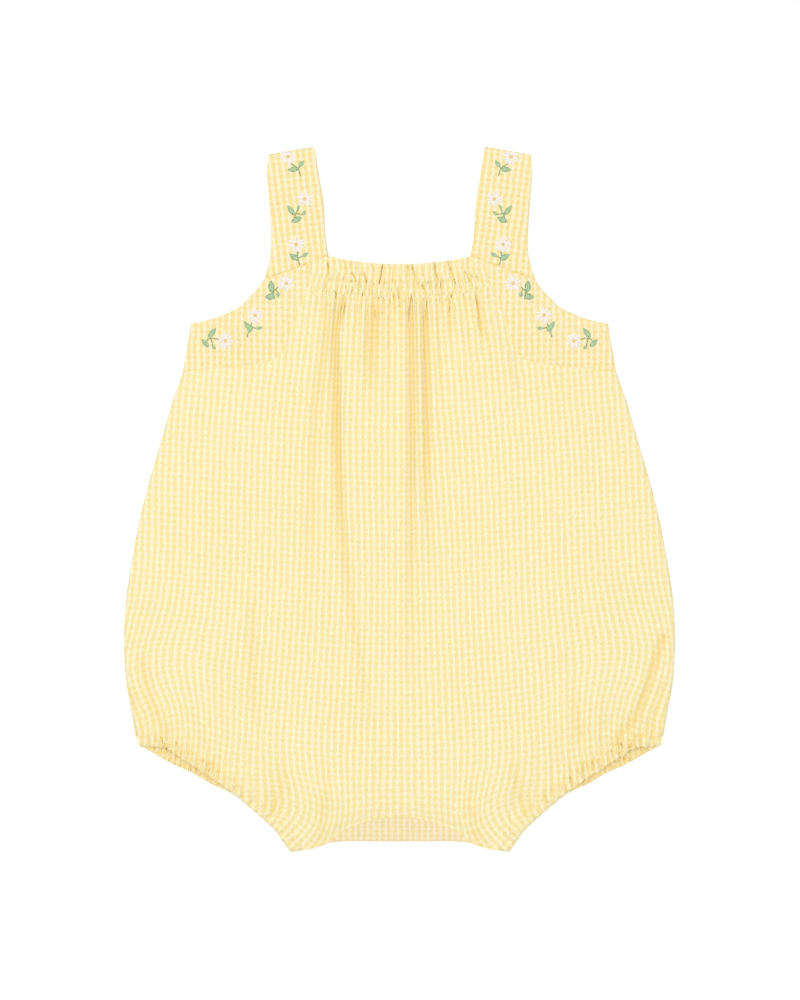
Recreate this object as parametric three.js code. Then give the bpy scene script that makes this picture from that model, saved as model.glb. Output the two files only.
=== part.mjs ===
import * as THREE from "three";

// Baby romper laid flat, front up: straps towards +Y, front towards +Z, the back lying on Z = 0.
// Millimetres. Outlines are given for the side with X over 0 and mirrored for the other.

// Layers, from the surface up
const BACK_CLOTH = 1.2;
const BAND_CLOTH = 1.4;
const FRONT_CLOTH = 1.35;
const STRAP_CLOTH = 1.3;
const SEAM_GAP = 0.3;
const CURVE_GAP = 0.15;
const EDGE_REST = BACK_CLOTH + SEAM_GAP;
const GATHER_REST = 2.05;
const HIGHEST_UNDERSIDE = 5.05;

// Driving sizes
const NECK_HALF = 50;
const CHANNEL_SHARE = 0.4;
const LEG_CASING = 5.8;
const BACK_INSET = 0.7;
const BACK_NECK_DROP = 2.5;
const PUFF = 2.45;
const NECK_SHARE = 0.5;
const LEG_SHARE = 0.36;

// Gathers: how high their ridges stand over their troughs
const NECK_GATHER = 1.1;
const HEADING_GATHER = 1.9;
const LEG_GATHER = 1.0;
const BACK_GATHER = 0.45;

// Strap folded over at the shoulder
const FOLD_INSIDE = 0.6;
const FOLD_STEPS = 6;

const neckEdge = [
  { x: 0, top: 132.8, stitch: 114.0 },
  { x: 10, top: 132.9, stitch: 114.0 },
  { x: 20, top: 133.7, stitch: 114.5 },
  { x: 30, top: 135.0, stitch: 115.4 },
  { x: 40.4, top: 137.3, stitch: 117.2 },
  { x: 50, top: 133.8, stitch: 120.6 },
];

// Where one broad pleat of the heading ends and the next begins
const pleatEdges = [-50, -40.4, -30.2, -22.5, -14.6, -4.6, 4.9, 13.2, 21.0, 28.8, 39.2, 50];
const pleatSwell = [0.55, 0.95, 1.1, 0.8, 1.0, 1.15, 0.75, 1.05, 0.9, 1.0, 0.55];

const bandSeam = [
  { x: 50.0, y: 133.8 },
  { x: 50.3, y: 127.0 },
  { x: 51.2, y: 120.7 },
  { x: 56.8, y: 107.4 },
  { x: 60.2, y: 100.0 },
  { x: 62.6, y: 89.8 },
  { x: 66.1, y: 82.8 },
  { x: 70.3, y: 79.2 },
  { x: 77.7, y: 76.8 },
  { x: 90.1, y: 75.1 },
  { x: 106.0, y: 73.5 },
  { x: 122.6, y: 71.8 },
];

const armhole = [
  { x: 77.0, y: 123.6 },
  { x: 81.1, y: 118.1 },
  { x: 85.6, y: 113.6 },
  { x: 90.1, y: 109.0 },
  { x: 99.2, y: 104.5 },
  { x: 108.8, y: 101.1 },
  { x: 117.8, y: 99.4 },
];

const strapInner = [
  { x: 40.4, y: 137.3 },
  { x: 42.1, y: 149.7 },
  { x: 43.2, y: 167.8 },
  { x: 45.5, y: 181.4 },
  { x: 48.3, y: 199.4 },
];

const strapOuter = [
  { x: 77.0, y: 123.6 },
  { x: 74.3, y: 131.6 },
  { x: 72.6, y: 140.7 },
  { x: 72.6, y: 149.7 },
  { x: 73.7, y: 168.9 },
  { x: 74.9, y: 185.9 },
  { x: 74.5, y: 195.0 },
];

const side = [
  { x: 122.6, y: 71.8 },
  { x: 128.3, y: 55.9 },
  { x: 134.8, y: 33.3 },
  { x: 141.5, y: 10.7 },
  { x: 147.2, y: -11.9 },
  { x: 151.4, y: -34.5 },
  { x: 154.8, y: -57.1 },
  { x: 155.9, y: -79.7 },
  { x: 154.8, y: -102.3 },
  { x: 150.9, y: -124.9 },
  { x: 149.3, y: -133.8 },
];

const frontLegEdge = [
  { x: 147.5, y: -139.9 },
  { x: 140.5, y: -140.1 },
  { x: 133.3, y: -141.2 },
  { x: 125.5, y: -145.8 },
  { x: 109.9, y: -155.9 },
  { x: 94.4, y: -166.5 },
  { x: 84.5, y: -174.6 },
  { x: 74.3, y: -183.6 },
  { x: 69.8, y: -188.1 },
  { x: 66.6, y: -192.7 },
  { x: 61.9, y: -199.4 },
];

const backLegEdge = [
  { x: 147.5, y: -139.9 },
  { x: 141.7, y: -142.6 },
  { x: 133.3, y: -147.5 },
  { x: 126.8, y: -150.9 },
  { x: 116.4, y: -155.6 },
  { x: 107.4, y: -161.0 },
  { x: 94.4, y: -167.2 },
  { x: 84.5, y: -174.8 },
  { x: 74.3, y: -183.8 },
  { x: 69.6, y: -188.3 },
  { x: 66.4, y: -192.9 },
  { x: 61.9, y: -199.4 },
];

const frontCrotch = [
  { x: 55.9, y: -198.7 },
  { x: 47.7, y: -197.2 },
  { x: 41.0, y: -194.6 },
  { x: 35.5, y: -190.4 },
  { x: 28.0, y: -186.0 },
  { x: 15.0, y: -181.8 },
  { x: 0, y: -179.5 },
];

const backCrotch = [
  { x: 55.3, y: -198.0 },
  { x: 47.7, y: -196.8 },
  { x: 41.0, y: -194.9 },
  { x: 30.8, y: -193.8 },
  { x: 15.0, y: -193.8 },
  { x: 0, y: -193.8 },
];

const placket = { half: 40, top: -175.5, low: 1.5, cloth: 1.0 };

// Fold valleys of the front: a run of points, depth at the deepest and half the valley's width
const folds = [
  { run: [[-33, 111], [-36.4, 95], [-35.3, 39], [-33.6, -3], [-28, -51], [-18.4, -111]], depth: 1.7, width: 3.4 },
  { run: [[-13.8, 112], [-16, 85], [-18.4, 61]], depth: 1.2, width: 2.8 },
  { run: [[5.9, 112], [7.1, 67], [5.9, -17], [5.9, -102]], depth: 1.6, width: 3.0 },
  { run: [[14.4, 112], [15.5, 67], [15.5, 5], [17.2, -40]], depth: 2.0, width: 3.0 },
  { run: [[28.5, 113], [28.5, 81]], depth: 1.1, width: 2.6 },
  { run: [[43.8, 114], [46.6, 96], [55.1, 79]], depth: 1.2, width: 2.8 },
  { run: [[-47.7, 39], [-50.6, -17], [-53.4, -68]], depth: 0.8, width: 4.2 },
  { run: [[-83.3, -74], [-83.3, -102], [-80.5, -125]], depth: 1.1, width: 3.8 },
  { run: [[-57, 104], [-66.4, 76], [-69.2, 60]], depth: 0.9, width: 3.6 },
  { run: [[147, -85], [138.7, -111], [133, -125], [121, -135]], depth: 1.3, width: 3.8 },
  { run: [[-143, -98], [-138, -118], [-133, -132]], depth: 1.0, width: 3.6 },
  { run: [[97.5, -100], [102, -131]], depth: 0.8, width: 3.4 },
];

const CLOTH_COLOUR = 0xf3e3a6;
const BAND_COLOUR = 0xefe0ae;
const BACK_COLOUR = 0xe9d79a;

const ease = (t) => {
  const c = Math.min(1, Math.max(0, t));
  return c * c * (3 - 2 * c);
};
const mix = (a, b, t) => a + (b - a) * t;
const mixPoint = (a, b, t) => ({ x: mix(a.x, b.x, t), y: mix(a.y, b.y, t) });
const spread = (count, from = 0, to = 1) =>
  Array.from({ length: count + 1 }, (_, i) => mix(from, to, i / count));

// A smooth line through a table's points, asked for by its share of length
function smoothLine(points) {
  const knots = points.map((p) => new THREE.Vector3(p.x, p.y, 0));
  const line = new THREE.CatmullRomCurve3(knots, false, "centripetal");
  line.arcLengthDivisions = 400;
  return (t) => {
    const p = line.getPointAt(Math.min(1, Math.max(0, t)));
    return { x: p.x, y: p.y };
  };
}

// Close points on the same line moved sideways, to the right of its direction if distance is over 0
function beside(points, distance) {
  const close = spread(80).map(smoothLine(points));
  return close.map((p, i) => {
    const a = close[Math.max(0, i - 1)];
    const b = close[Math.min(close.length - 1, i + 1)];
    const length = Math.hypot(b.x - a.x, b.y - a.y);
    return {
      x: p.x + ((b.y - a.y) / length) * distance,
      y: p.y - ((b.x - a.x) / length) * distance,
    };
  });
}

// A column of a table between its rows
function column(rows, key, x) {
  const at = Math.abs(x);
  const next = Math.max(1, rows.findIndex((row) => row.x >= at));
  const last = next < 1 || at > rows[rows.length - 1].x ? rows.length - 1 : next;
  const a = rows[last - 1];
  const b = rows[last];
  return mix(a[key], b[key], Math.min(1, (at - a.x) / (b.x - a.x)));
}

// Gathers between edges: 0 in each trough, the ridge's own swell half-way
class Gathers {
  constructor(edges, swells) {
    this.edges = edges;
    this.swells = swells;
  }

  rise(at) {
    const k = this.edges.findIndex((edge, i) => i > 0 && at <= edge);
    if (k < 1 || at < this.edges[0]) return 0;
    const phase = (at - this.edges[k - 1]) / (this.edges[k] - this.edges[k - 1]);
    return this.swells[(k - 1) % this.swells.length] * (0.5 - 0.5 * Math.cos(2 * Math.PI * phase));
  }

  halved() {
    const finer = [];
    this.edges.slice(1).forEach((edge, i) => {
      const share = 0.46 + 0.08 * (i % 2);
      finer.push(this.edges[i], mix(this.edges[i], edge, share));
    });
    finer.push(this.edges[this.edges.length - 1]);
    return finer;
  }
}

const pleats = new Gathers(pleatEdges, pleatSwell);
const neckGathers = new Gathers(pleats.halved(), [1, 0.8, 1.1, 0.9, 0.75, 1.05, 0.95]);
const legGathers = new Gathers(spread(14, NECK_SHARE, 1), [1, 0.75, 1.1, 0.85, 1.05, 0.7]);
const innerLegGathers = new Gathers(spread(4, LEG_SHARE, NECK_SHARE), [0.8, 1, 0.7, 0.9]);
const legRise = (u) => legGathers.rise(Math.abs(u)) + innerLegGathers.rise(Math.abs(u));

// A closed wall of cloth between an upper and a lower grid of points [x, y, z]
function clothWall(name, upper, lower, colour) {
  const rows = upper.length;
  const cols = upper[0].length;
  const layer = rows * cols;
  const positions = [...upper.flat(), ...lower.flat()].flat();
  const faces = [];
  const quad = (a, b, c, d) => faces.push(a, b, c, a, c, d);
  const at = (r, c) => r * cols + c;
  for (let r = 0; r + 1 < rows; r += 1) {
    for (let c = 0; c + 1 < cols; c += 1) {
      quad(at(r, c), at(r, c + 1), at(r + 1, c + 1), at(r + 1, c));
      quad(layer + at(r, c), layer + at(r + 1, c), layer + at(r + 1, c + 1), layer + at(r, c + 1));
    }
  }
  const rim = [];
  for (let c = 0; c + 1 < cols; c += 1) rim.push(at(0, c));
  for (let r = 0; r + 1 < rows; r += 1) rim.push(at(r, cols - 1));
  for (let c = cols - 1; c > 0; c -= 1) rim.push(at(rows - 1, c));
  for (let r = rows - 1; r > 0; r -= 1) rim.push(at(r, 0));
  rim.forEach((a, i) => {
    const b = rim[(i + 1) % rim.length];
    quad(b, a, layer + a, layer + b);
  });
  if (signedVolume(positions, faces) < 0) {
    for (let i = 0; i < faces.length; i += 3) {
      [faces[i + 1], faces[i + 2]] = [faces[i + 2], faces[i + 1]];
    }
  }
  const geometry = new THREE.BufferGeometry();
  geometry.setAttribute("position", new THREE.Float32BufferAttribute(positions, 3));
  geometry.setIndex(faces);
  geometry.computeVertexNormals();
  const finish = new THREE.MeshStandardMaterial({ color: colour, roughness: 0.9, metalness: 0 });
  const mesh = new THREE.Mesh(geometry, finish);
  mesh.name = name;
  return mesh;
}

function signedVolume(positions, faces) {
  const p = (i) => new THREE.Vector3(positions[3 * i], positions[3 * i + 1], positions[3 * i + 2]);
  let sum = 0;
  for (let i = 0; i < faces.length; i += 3) {
    sum += p(faces[i]).dot(p(faces[i + 1]).cross(p(faces[i + 2])));
  }
  return sum;
}

// Cloth whose two faces are heights over the plan: place(r, c) gives x, y, low and high
function laidCloth(name, rows, cols, place, colour) {
  const grid = Array.from({ length: rows }, (_, r) =>
    Array.from({ length: cols }, (_, c) => place(r, c)),
  );
  const upper = grid.map((row) => row.map((p) => [p.x, p.y, p.high]));
  const lower = grid.map((row) => row.map((p) => [p.x, p.y, p.low]));
  return clothWall(name, upper, lower, colour);
}

// A sheet held by four edge lines: rows run from the bottom line to the top one
function sheetPlan(bottom, top, rightSide) {
  const left = (v) => ({ x: -rightSide(v).x, y: rightSide(v).y });
  const corner = { low: rightSide(0), high: rightSide(1) };
  return (u, v) => {
    const s = (u + 1) / 2;
    const b = bottom(u);
    const t = top(u);
    const sides = mixPoint(left(v), rightSide(v), s);
    const cornerX = (2 * s - 1) * mix(corner.low.x, corner.high.x, v);
    const cornerY = mix(corner.low.y, corner.high.y, v);
    return {
      x: mix(b.x, t.x, v) + sides.x - cornerX,
      y: mix(b.y, t.y, v) + sides.y - cornerY,
    };
  };
}

// The upper line of a sheet: under the casing at the neck, then along the bands
function upperLine(casingLow, seam) {
  const neck = smoothLine(casingLow);
  const band = smoothLine(seam);
  return (u) => {
    const a = Math.abs(u);
    const p = a <= NECK_SHARE ? neck(a / NECK_SHARE) : band((a - NECK_SHARE) / (1 - NECK_SHARE));
    return { x: Math.sign(u || 1) * p.x, y: p.y };
  };
}

// The lower line: along the crotch, then along the leg casings
function lowerLine(crotch, leg) {
  const middle = smoothLine([...crotch].reverse());
  const outer = smoothLine([...leg].reverse());
  return (u) => {
    const a = Math.abs(u);
    const p = a <= LEG_SHARE ? middle(a / LEG_SHARE) : outer((a - LEG_SHARE) / (1 - LEG_SHARE));
    return { x: Math.sign(u || 1) * p.x, y: p.y };
  };
}

// Depth of the fold valleys at a point, with a soft ridge beside each
function foldRelief(x, y) {
  let height = 0;
  folds.forEach((fold) => {
    let nearest = Infinity;
    let along = 0;
    const steps = fold.run.length - 1;
    for (let i = 0; i < steps; i += 1) {
      const [ax, ay] = fold.run[i];
      const [bx, by] = fold.run[i + 1];
      const length2 = (bx - ax) ** 2 + (by - ay) ** 2;
      const raw = ((x - ax) * (bx - ax) + (y - ay) * (by - ay)) / length2;
      const t = Math.min(1, Math.max(0, raw));
      const d = Math.hypot(x - mix(ax, bx, t), y - mix(ay, by, t));
      if (d < nearest) {
        nearest = d;
        along = (i + t) / steps;
      }
    }
    const q = nearest / fold.width;
    const fade = 0.35 + 0.65 * ease((1 - along) * 1.6);
    const ridge = 0.4 * Math.exp(-((q - 2.1) ** 2));
    height += fold.depth * fade * (ridge - Math.exp(-q * q));
  });
  return height;
}

// How much the sheets stand clear where the placket lies between them
const placketLift = (x, y) => ease((60 - Math.abs(x)) / 12) * ease((-150 - y) / 18);

const casingLow = neckEdge.map((row) => ({ x: row.x, y: row.stitch - SEAM_GAP }));
const seamUnder = (distance, corner) => [
  corner,
  ...beside(bandSeam, distance).filter((p) => p.y < corner.y - 1.5),
];
const legInside = (edge, distance, start, end) => [
  start,
  ...beside(edge, distance).filter((p) => p.x < start.x - 1.5 && p.x > end.x + 1.5),
  end,
];
const hip = side[side.length - 1];
const frontPlan = sheetPlan(
  lowerLine(frontCrotch, legInside(frontLegEdge, LEG_CASING + SEAM_GAP, hip, frontCrotch[0])),
  upperLine(casingLow, seamUnder(SEAM_GAP + CURVE_GAP, casingLow[casingLow.length - 1])),
  smoothLine([...side].reverse()),
);

const neckColumns = neckGathers.edges
  .slice(1)
  .flatMap((edge, i) => spread(4, neckGathers.edges[i], edge).slice(0, 4))
  .concat(NECK_HALF)
  .map((x) => (x / NECK_HALF) * NECK_SHARE);
const outerColumns = spread(28, NECK_SHARE, 1).slice(1);
const frontColumns = [...outerColumns.map((u) => -u).reverse(), ...neckColumns, ...outerColumns];
const frontRows = [0, 0.025, 0.06, 0.12, 0.22, 0.34, 0.47, 0.6, 0.72, 0.82, 0.895, 0.95, 0.98, 1];

// The front: a puffed sheet, gathered along the neck and the legs
function frontUnderside(u, v, p) {
  const a = Math.abs(u);
  const fromTop = frontPlan(u, 1).y - p.y;
  const fromLow = p.y - frontPlan(u, 0).y;
  const fromSide = ease((1 - a) / 0.07);
  const byNeck = ease((NECK_SHARE + 0.05 - a) / 0.1);
  const rest = EDGE_REST + (GATHER_REST - EDGE_REST) * fromSide * Math.max(byNeck, 1 - ease(v * 1.4 - 0.4));
  const swell = ease((1 - a) / 0.24) * ease((fromTop + 4) / 46) * ease((fromLow + 2) / 38);
  const neck = NECK_GATHER * neckGathers.rise((u / NECK_SHARE) * NECK_HALF) * Math.exp(-fromTop / 15);
  const leg = LEG_GATHER * legRise(u) * Math.exp(-fromLow / 13);
  const relief = foldRelief(p.x, p.y) * ease((fromTop + 6) / 14) * ease((fromLow + 2) / 16);
  const lift = 0.95 * placketLift(p.x, p.y);
  const height = rest + PUFF * swell + neck + leg + relief + lift;
  return Math.min(HIGHEST_UNDERSIDE, Math.max(rest + lift, height));
}

function frontPanel() {
  return laidCloth("front_panel", frontRows.length, frontColumns.length, (r, c) => {
    const u = frontColumns[c];
    const p = frontPlan(u, frontRows[r]);
    const low = frontUnderside(u, frontRows[r], p);
    return { ...p, low, high: low + FRONT_CLOTH };
  }, CLOTH_COLOUR);
}

// The neck casing: a channel of fine gathers under a heading of broad pleats
function frontCasing() {
  const rows = [0, 0.16, CHANNEL_SHARE, CHANNEL_SHARE + 0.14, 0.8, 1];
  return laidCloth("neck_casing_front", rows.length, neckColumns.length, (r, c) => {
    const x = (neckColumns[c] / NECK_SHARE) * NECK_HALF;
    const w = rows[r];
    const heading = ease((w - CHANNEL_SHARE) / 0.45);
    const stitch = Math.exp(-(((w - CHANNEL_SHARE) / 0.1) ** 2)) + Math.exp(-((w / 0.1) ** 2));
    const fine = NECK_GATHER * neckGathers.rise(x) * (1 - 0.25 * stitch) * (1 - 0.8 * heading);
    const broad = HEADING_GATHER * pleats.rise(x) * heading;
    const low = GATHER_REST + fine + broad + 0.35 * heading + 0.15 * (1 - stitch);
    return {
      x: x * mix(1.018, 1, ease(w * 2)),
      y: mix(column(neckEdge, "stitch", x), column(neckEdge, "top", x), w),
      low,
      high: low + FRONT_CLOTH,
    };
  }, BAND_COLOUR);
}

function backCasing() {
  const rows = [0, CHANNEL_SHARE, 1];
  const columns = neckColumns.filter((_, i) => i % 2 === 0);
  return laidCloth("neck_casing_back", rows.length, columns.length, (r, c) => {
    const x = (columns[c] / NECK_SHARE) * NECK_HALF;
    const top = column(neckEdge, "top", x) - BACK_NECK_DROP * ease((NECK_HALF - Math.abs(x)) / 12);
    return {
      x: x * 0.995,
      y: mix(column(neckEdge, "stitch", x), top, rows[r]) - BACK_INSET,
      low: 0,
      high: BACK_CLOTH + BACK_GATHER * neckGathers.rise(x),
    };
  }, BACK_COLOUR);
}

// An armhole band, from the strap's seam round to the side seam
function armholeBand(name, hand, layer) {
  const inset = layer === "back" ? BACK_INSET : 0;
  const inner = smoothLine(bandSeam);
  const outer = smoothLine(beside(armhole, inset));
  const along = spread(28);
  const across = spread(3);
  const colour = layer === "back" ? BACK_COLOUR : BAND_COLOUR;
  return laidCloth(name, across.length, along.length, (r, c) => {
    const t = along[c];
    const start = mixPoint(inner(t), outer(t), across[r]);
    const down = layer === "back" ? BACK_INSET : 0;
    const crown = 0.2 * (1 - (2 * across[r] - 1) ** 2);
    const low = layer === "back" ? 0 : EDGE_REST;
    const cloth = layer === "back" ? BACK_CLOTH : BAND_CLOTH + crown;
    return { x: hand * start.x, y: start.y - down, low, high: low + cloth };
  }, colour);
}

// A strap: one strip up the front, over the shoulder fold and down the back
function strap(name, hand) {
  const radius = FOLD_INSIDE + STRAP_CLOTH;
  const innerEnd = strapInner[strapInner.length - 1];
  const outerEnd = strapOuter[strapOuter.length - 1];
  const length = Math.hypot(outerEnd.x - innerEnd.x, outerEnd.y - innerEnd.y);
  const up = { x: (innerEnd.y - outerEnd.y) / length, y: (outerEnd.x - innerEnd.x) / length };
  const drawnIn = (p) => ({ x: p.x - radius * up.x, y: p.y - radius * up.y });
  const lifted = (points) => points.map((p, i) => (i === 0 ? { x: p.x, y: p.y + SEAM_GAP } : p));
  const inner = smoothLine([...lifted(strapInner).slice(0, -1), drawnIn(innerEnd)]);
  const outer = smoothLine([...lifted(strapOuter).slice(0, -1), drawnIn(outerEnd)]);
  const across = spread(4);
  const upper = [];
  const lower = [];
  const inward = (a) => mix(a, 0.5, 0.04);
  spread(12).forEach((t) => {
    const rise = EDGE_REST + 0.2 + (2 * FOLD_INSIDE + STRAP_CLOTH - EDGE_REST - 0.2) * ease(t * 1.6 - 0.6);
    upper.push(across.map((a) => {
      const p = mixPoint(inner(t), outer(t), a);
      return [hand * p.x, p.y, rise + STRAP_CLOTH + 0.25 * (1 - (2 * a - 1) ** 2) * (1 - t)];
    }));
    lower.push(across.map((a) => {
      const p = mixPoint(inner(t), outer(t), a);
      return [hand * p.x, p.y, rise];
    }));
  });
  for (let i = 1; i < FOLD_STEPS; i += 1) {
    const turn = Math.PI / 2 - (Math.PI * i) / FOLD_STEPS;
    const ring = (r) => across.map((a) => {
      const p = mixPoint(inner(1), outer(1), mix(a, inward(a), i / FOLD_STEPS));
      const out = r * Math.cos(turn);
      return [hand * (p.x + out * up.x), p.y + out * up.y, radius + r * Math.sin(turn)];
    });
    upper.push(ring(radius));
    lower.push(ring(FOLD_INSIDE));
  }
  [...spread(8)].reverse().forEach((t) => {
    const ring = (z) => across.map((a) => {
      const p = mixPoint(inner(t), outer(t), inward(a));
      return [hand * p.x, p.y, z];
    });
    upper.push(ring(0));
    lower.push(ring(STRAP_CLOTH));
  });
  return clothWall(name, upper, lower, BAND_COLOUR);
}

// A leg casing: a narrow elastic hem with its own gathers
function legCasing(name, hand, layer) {
  const back = layer === "back";
  const edge = back ? backLegEdge : frontLegEdge;
  const start = { x: hip.x - 0.1, y: hip.y - SEAM_GAP };
  const end = { x: frontCrotch[0].x + 0.4, y: back ? -198.5 : -198.8 };
  const outer = smoothLine([...edge].reverse());
  const inner = smoothLine(legInside(edge, LEG_CASING, start, end).reverse());
  const along = [...spread(8, LEG_SHARE, NECK_SHARE), ...outerColumns];
  const across = [0, 0.5, 1];
  return laidCloth(name, across.length, along.length, (r, c) => {
    const t = (along[c] - LEG_SHARE) / (1 - LEG_SHARE);
    const p = mixPoint(inner(t), outer(t), across[r]);
    const fromSide = ease((1 - along[c]) / 0.07);
    const rise = legRise(along[c]) * ease((1 - t) / 0.06);
    if (back) return { x: hand * p.x, y: p.y, low: 0, high: BACK_CLOTH + BACK_GATHER * rise };
    const low = EDGE_REST + (GATHER_REST - EDGE_REST) * fromSide + LEG_GATHER * rise;
    return { x: hand * p.x, y: p.y, low, high: low + FRONT_CLOTH };
  }, back ? BACK_COLOUR : CLOTH_COLOUR);
}

// The back: a sheet lying on the surface
function backPanel() {
  const low = neckEdge.map((row) => ({ x: row.x * 0.995, y: row.stitch - BACK_INSET - SEAM_GAP }));
  const edge = beside(side, BACK_INSET);
  const seam = seamUnder(SEAM_GAP + CURVE_GAP, low[low.length - 1]).map((p, i) =>
    i === 0 ? p : { x: p.x, y: p.y - BACK_INSET },
  );
  seam[seam.length - 1] = { x: edge[0].x, y: seam[seam.length - 1].y };
  edge[0] = { ...seam[seam.length - 1] };
  const gap = SEAM_GAP + 2 * CURVE_GAP;
  const leg = legInside(backLegEdge, LEG_CASING + gap, edge[edge.length - 1], backCrotch[0]);
  const plan = sheetPlan(lowerLine(backCrotch, leg), upperLine(low, seam), smoothLine([...edge].reverse()));
  const half = [...spread(8, 0, NECK_SHARE), ...spread(20, NECK_SHARE, 1).slice(1)];
  const columns = [...half.slice(1).map((u) => -u).reverse(), ...half];
  const rows = spread(8);
  return laidCloth("back_panel", rows.length, columns.length, (r, c) => {
    const p = plan(columns[c], rows[r]);
    return { ...p, low: 0, high: BACK_CLOTH };
  }, BACK_COLOUR);
}

// The placket: a band on the inside of the back's crotch edge, showing under the front's hem
function crotchPlacket() {
  const columns = spread(20, -placket.half, placket.half);
  const rows = spread(2);
  const edge = [...backCrotch].reverse();
  return laidCloth("crotch_placket", rows.length, columns.length, (r, c) => {
    const x = columns[c];
    const y = mix(placket.top, column(edge, "y", x) + 0.2, rows[r]);
    return { x, y, low: placket.low, high: placket.low + placket.cloth };
  }, BAND_COLOUR);
}

const romper = new THREE.Group();
romper.name = "baby_romper";
romper.add(frontPanel(), backPanel(), frontCasing(), backCasing(), crotchPlacket());
[
  { word: "left", hand: -1 },
  { word: "right", hand: 1 },
].forEach(({ word, hand }) => {
  romper.add(
    strap(`strap_${word}`, hand),
    armholeBand(`armhole_band_front_${word}`, hand, "front"),
    armholeBand(`armhole_band_back_${word}`, hand, "back"),
    legCasing(`leg_casing_front_${word}`, hand, "front"),
    legCasing(`leg_casing_back_${word}`, hand, "back"),
  );
});

export default romper;
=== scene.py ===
"""Baby romper in yellow gingham seersucker, laid flat with its front up.

Straps point towards +Y and the front towards +Z. Tables are in millimetres and pieces are built in
metres. The outlines and the hems' creases give the side with X over 0 and the sprigs the other one, and
both are mirrored. The other creases give both sides.
"""

import logging
import math
from bisect import bisect_right
from dataclasses import dataclass, field
from enum import Enum
from typing import Callable, Iterable, Sequence

import bmesh
import bpy
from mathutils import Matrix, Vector, noise
from mathutils.bvhtree import BVHTree


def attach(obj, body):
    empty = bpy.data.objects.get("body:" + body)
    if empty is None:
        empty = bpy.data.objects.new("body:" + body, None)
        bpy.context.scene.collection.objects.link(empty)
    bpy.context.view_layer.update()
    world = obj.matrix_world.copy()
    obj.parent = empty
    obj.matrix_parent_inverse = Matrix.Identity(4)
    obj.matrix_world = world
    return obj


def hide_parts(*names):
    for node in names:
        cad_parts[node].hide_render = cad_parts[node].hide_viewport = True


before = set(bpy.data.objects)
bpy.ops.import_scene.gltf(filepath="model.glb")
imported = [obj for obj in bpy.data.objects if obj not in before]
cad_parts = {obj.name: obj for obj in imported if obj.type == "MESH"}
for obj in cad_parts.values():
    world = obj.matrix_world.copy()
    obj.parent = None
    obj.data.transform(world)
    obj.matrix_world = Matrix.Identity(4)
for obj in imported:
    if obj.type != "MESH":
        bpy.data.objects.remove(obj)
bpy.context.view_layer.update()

LOG = logging.getLogger("romper")
MM = 0.001
Point = tuple[float, float]

FRONT_CLOTH = 1.35
BAND_CLOTH = 1.4
STRAP_CLOTH = 1.3
SHOWN_CLOTH = 0.8
TUCK = 0.5
EDGE_REST = 1.5
GATHER_REST = 2.05
HIGHEST_UNDERSIDE = 5.05
NECK_HALF = 50.0
NECK_SHARE = 0.5
LEG_SHARE = 0.36
LEG_POWER = 1.3
CHANNEL_SHARE = 0.4
LEG_CASING = 5.8
CHECK = 3.6
BACK_INSET = 0.7
END_MARGIN = 1.5
SIDE_BLEND = 0.07
SEAM_HALF = 0.6
STITCH_HALF = 0.05
HEM_CREASE_HALF = 0.55
ROLLED_TOP = 1.35
STRAP_NARROWING = 0.04
SHOULDER_SLOPE = 0.168
STEEPNESS = 0.45
VALLEY_SHARE = 0.46
SHORE_SHARE = 0.3
FULL_DEPTH = 2.4
STRAP_WIDTH = 28
HEM_RUN = 420
PLACKET_TOP = 2.2
PLACKET_WIDTH = 18
CRINKLE = 2.2
YARN = 0.55
USUAL_HEIGHT = 2.9
RAY_START = 0.05
FLOOR_GAP = 0.0001

NECK_EDGE = (
    (0.0, 132.8, 114.0), (10.0, 132.9, 114.0), (20.0, 133.7, 114.5), (30.0, 135.0, 115.4),
    (40.4, 137.3, 117.2), (50.0, 133.8, 120.6),
)
PLEAT_EDGES = (-50, -40.4, -30.2, -22.5, -14.6, -4.6, 4.9, 13.2, 21.0, 28.8, 39.2, 50)
PLEAT_SWELL = (0.55, 0.95, 1.1, 0.8, 1.0, 1.15, 0.75, 1.05, 0.9, 1.0, 0.55)
BAND_SEAM = (
    (50.0, 133.8), (50.3, 127.0), (51.2, 120.7), (56.8, 107.4), (60.2, 100.0), (62.6, 89.8),
    (66.1, 82.8), (70.3, 79.2), (77.7, 76.8), (90.1, 75.1), (106.0, 73.5), (122.6, 71.8),
)
ARMHOLE = (
    (77.0, 123.6), (81.1, 118.1), (85.6, 113.6), (90.1, 109.0), (99.2, 104.5), (108.8, 101.1),
    (117.8, 99.4),
)
STRAP_INNER = ((40.4, 137.3), (42.1, 149.7), (43.2, 167.8), (45.5, 181.4), (48.3, 199.4))
STRAP_OUTER = (
    (77.0, 123.6), (74.3, 131.6), (72.6, 140.7), (72.6, 149.7), (73.7, 168.9), (74.9, 185.9),
    (74.5, 195.0),
)
SIDE = (
    (122.6, 71.8), (128.3, 55.9), (134.8, 33.3), (141.5, 10.7), (147.2, -11.9), (151.4, -34.5),
    (154.8, -57.1), (155.9, -79.7), (154.8, -102.3), (150.9, -124.9), (149.3, -133.8),
)
FRONT_LEG = (
    (147.5, -139.9), (140.5, -140.1), (133.3, -141.2), (125.5, -145.8), (109.9, -155.9),
    (94.4, -166.5), (84.5, -174.6), (74.3, -183.6), (69.8, -188.1), (66.6, -192.7), (61.9, -199.4),
)
BACK_LEG = (
    (147.5, -139.9), (141.7, -142.6), (133.3, -147.5), (126.8, -150.9), (116.4, -155.6),
    (107.4, -161.0), (94.4, -167.2), (84.5, -174.8), (74.3, -183.8), (69.6, -188.3), (66.4, -192.9),
    (61.9, -199.4),
)
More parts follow.
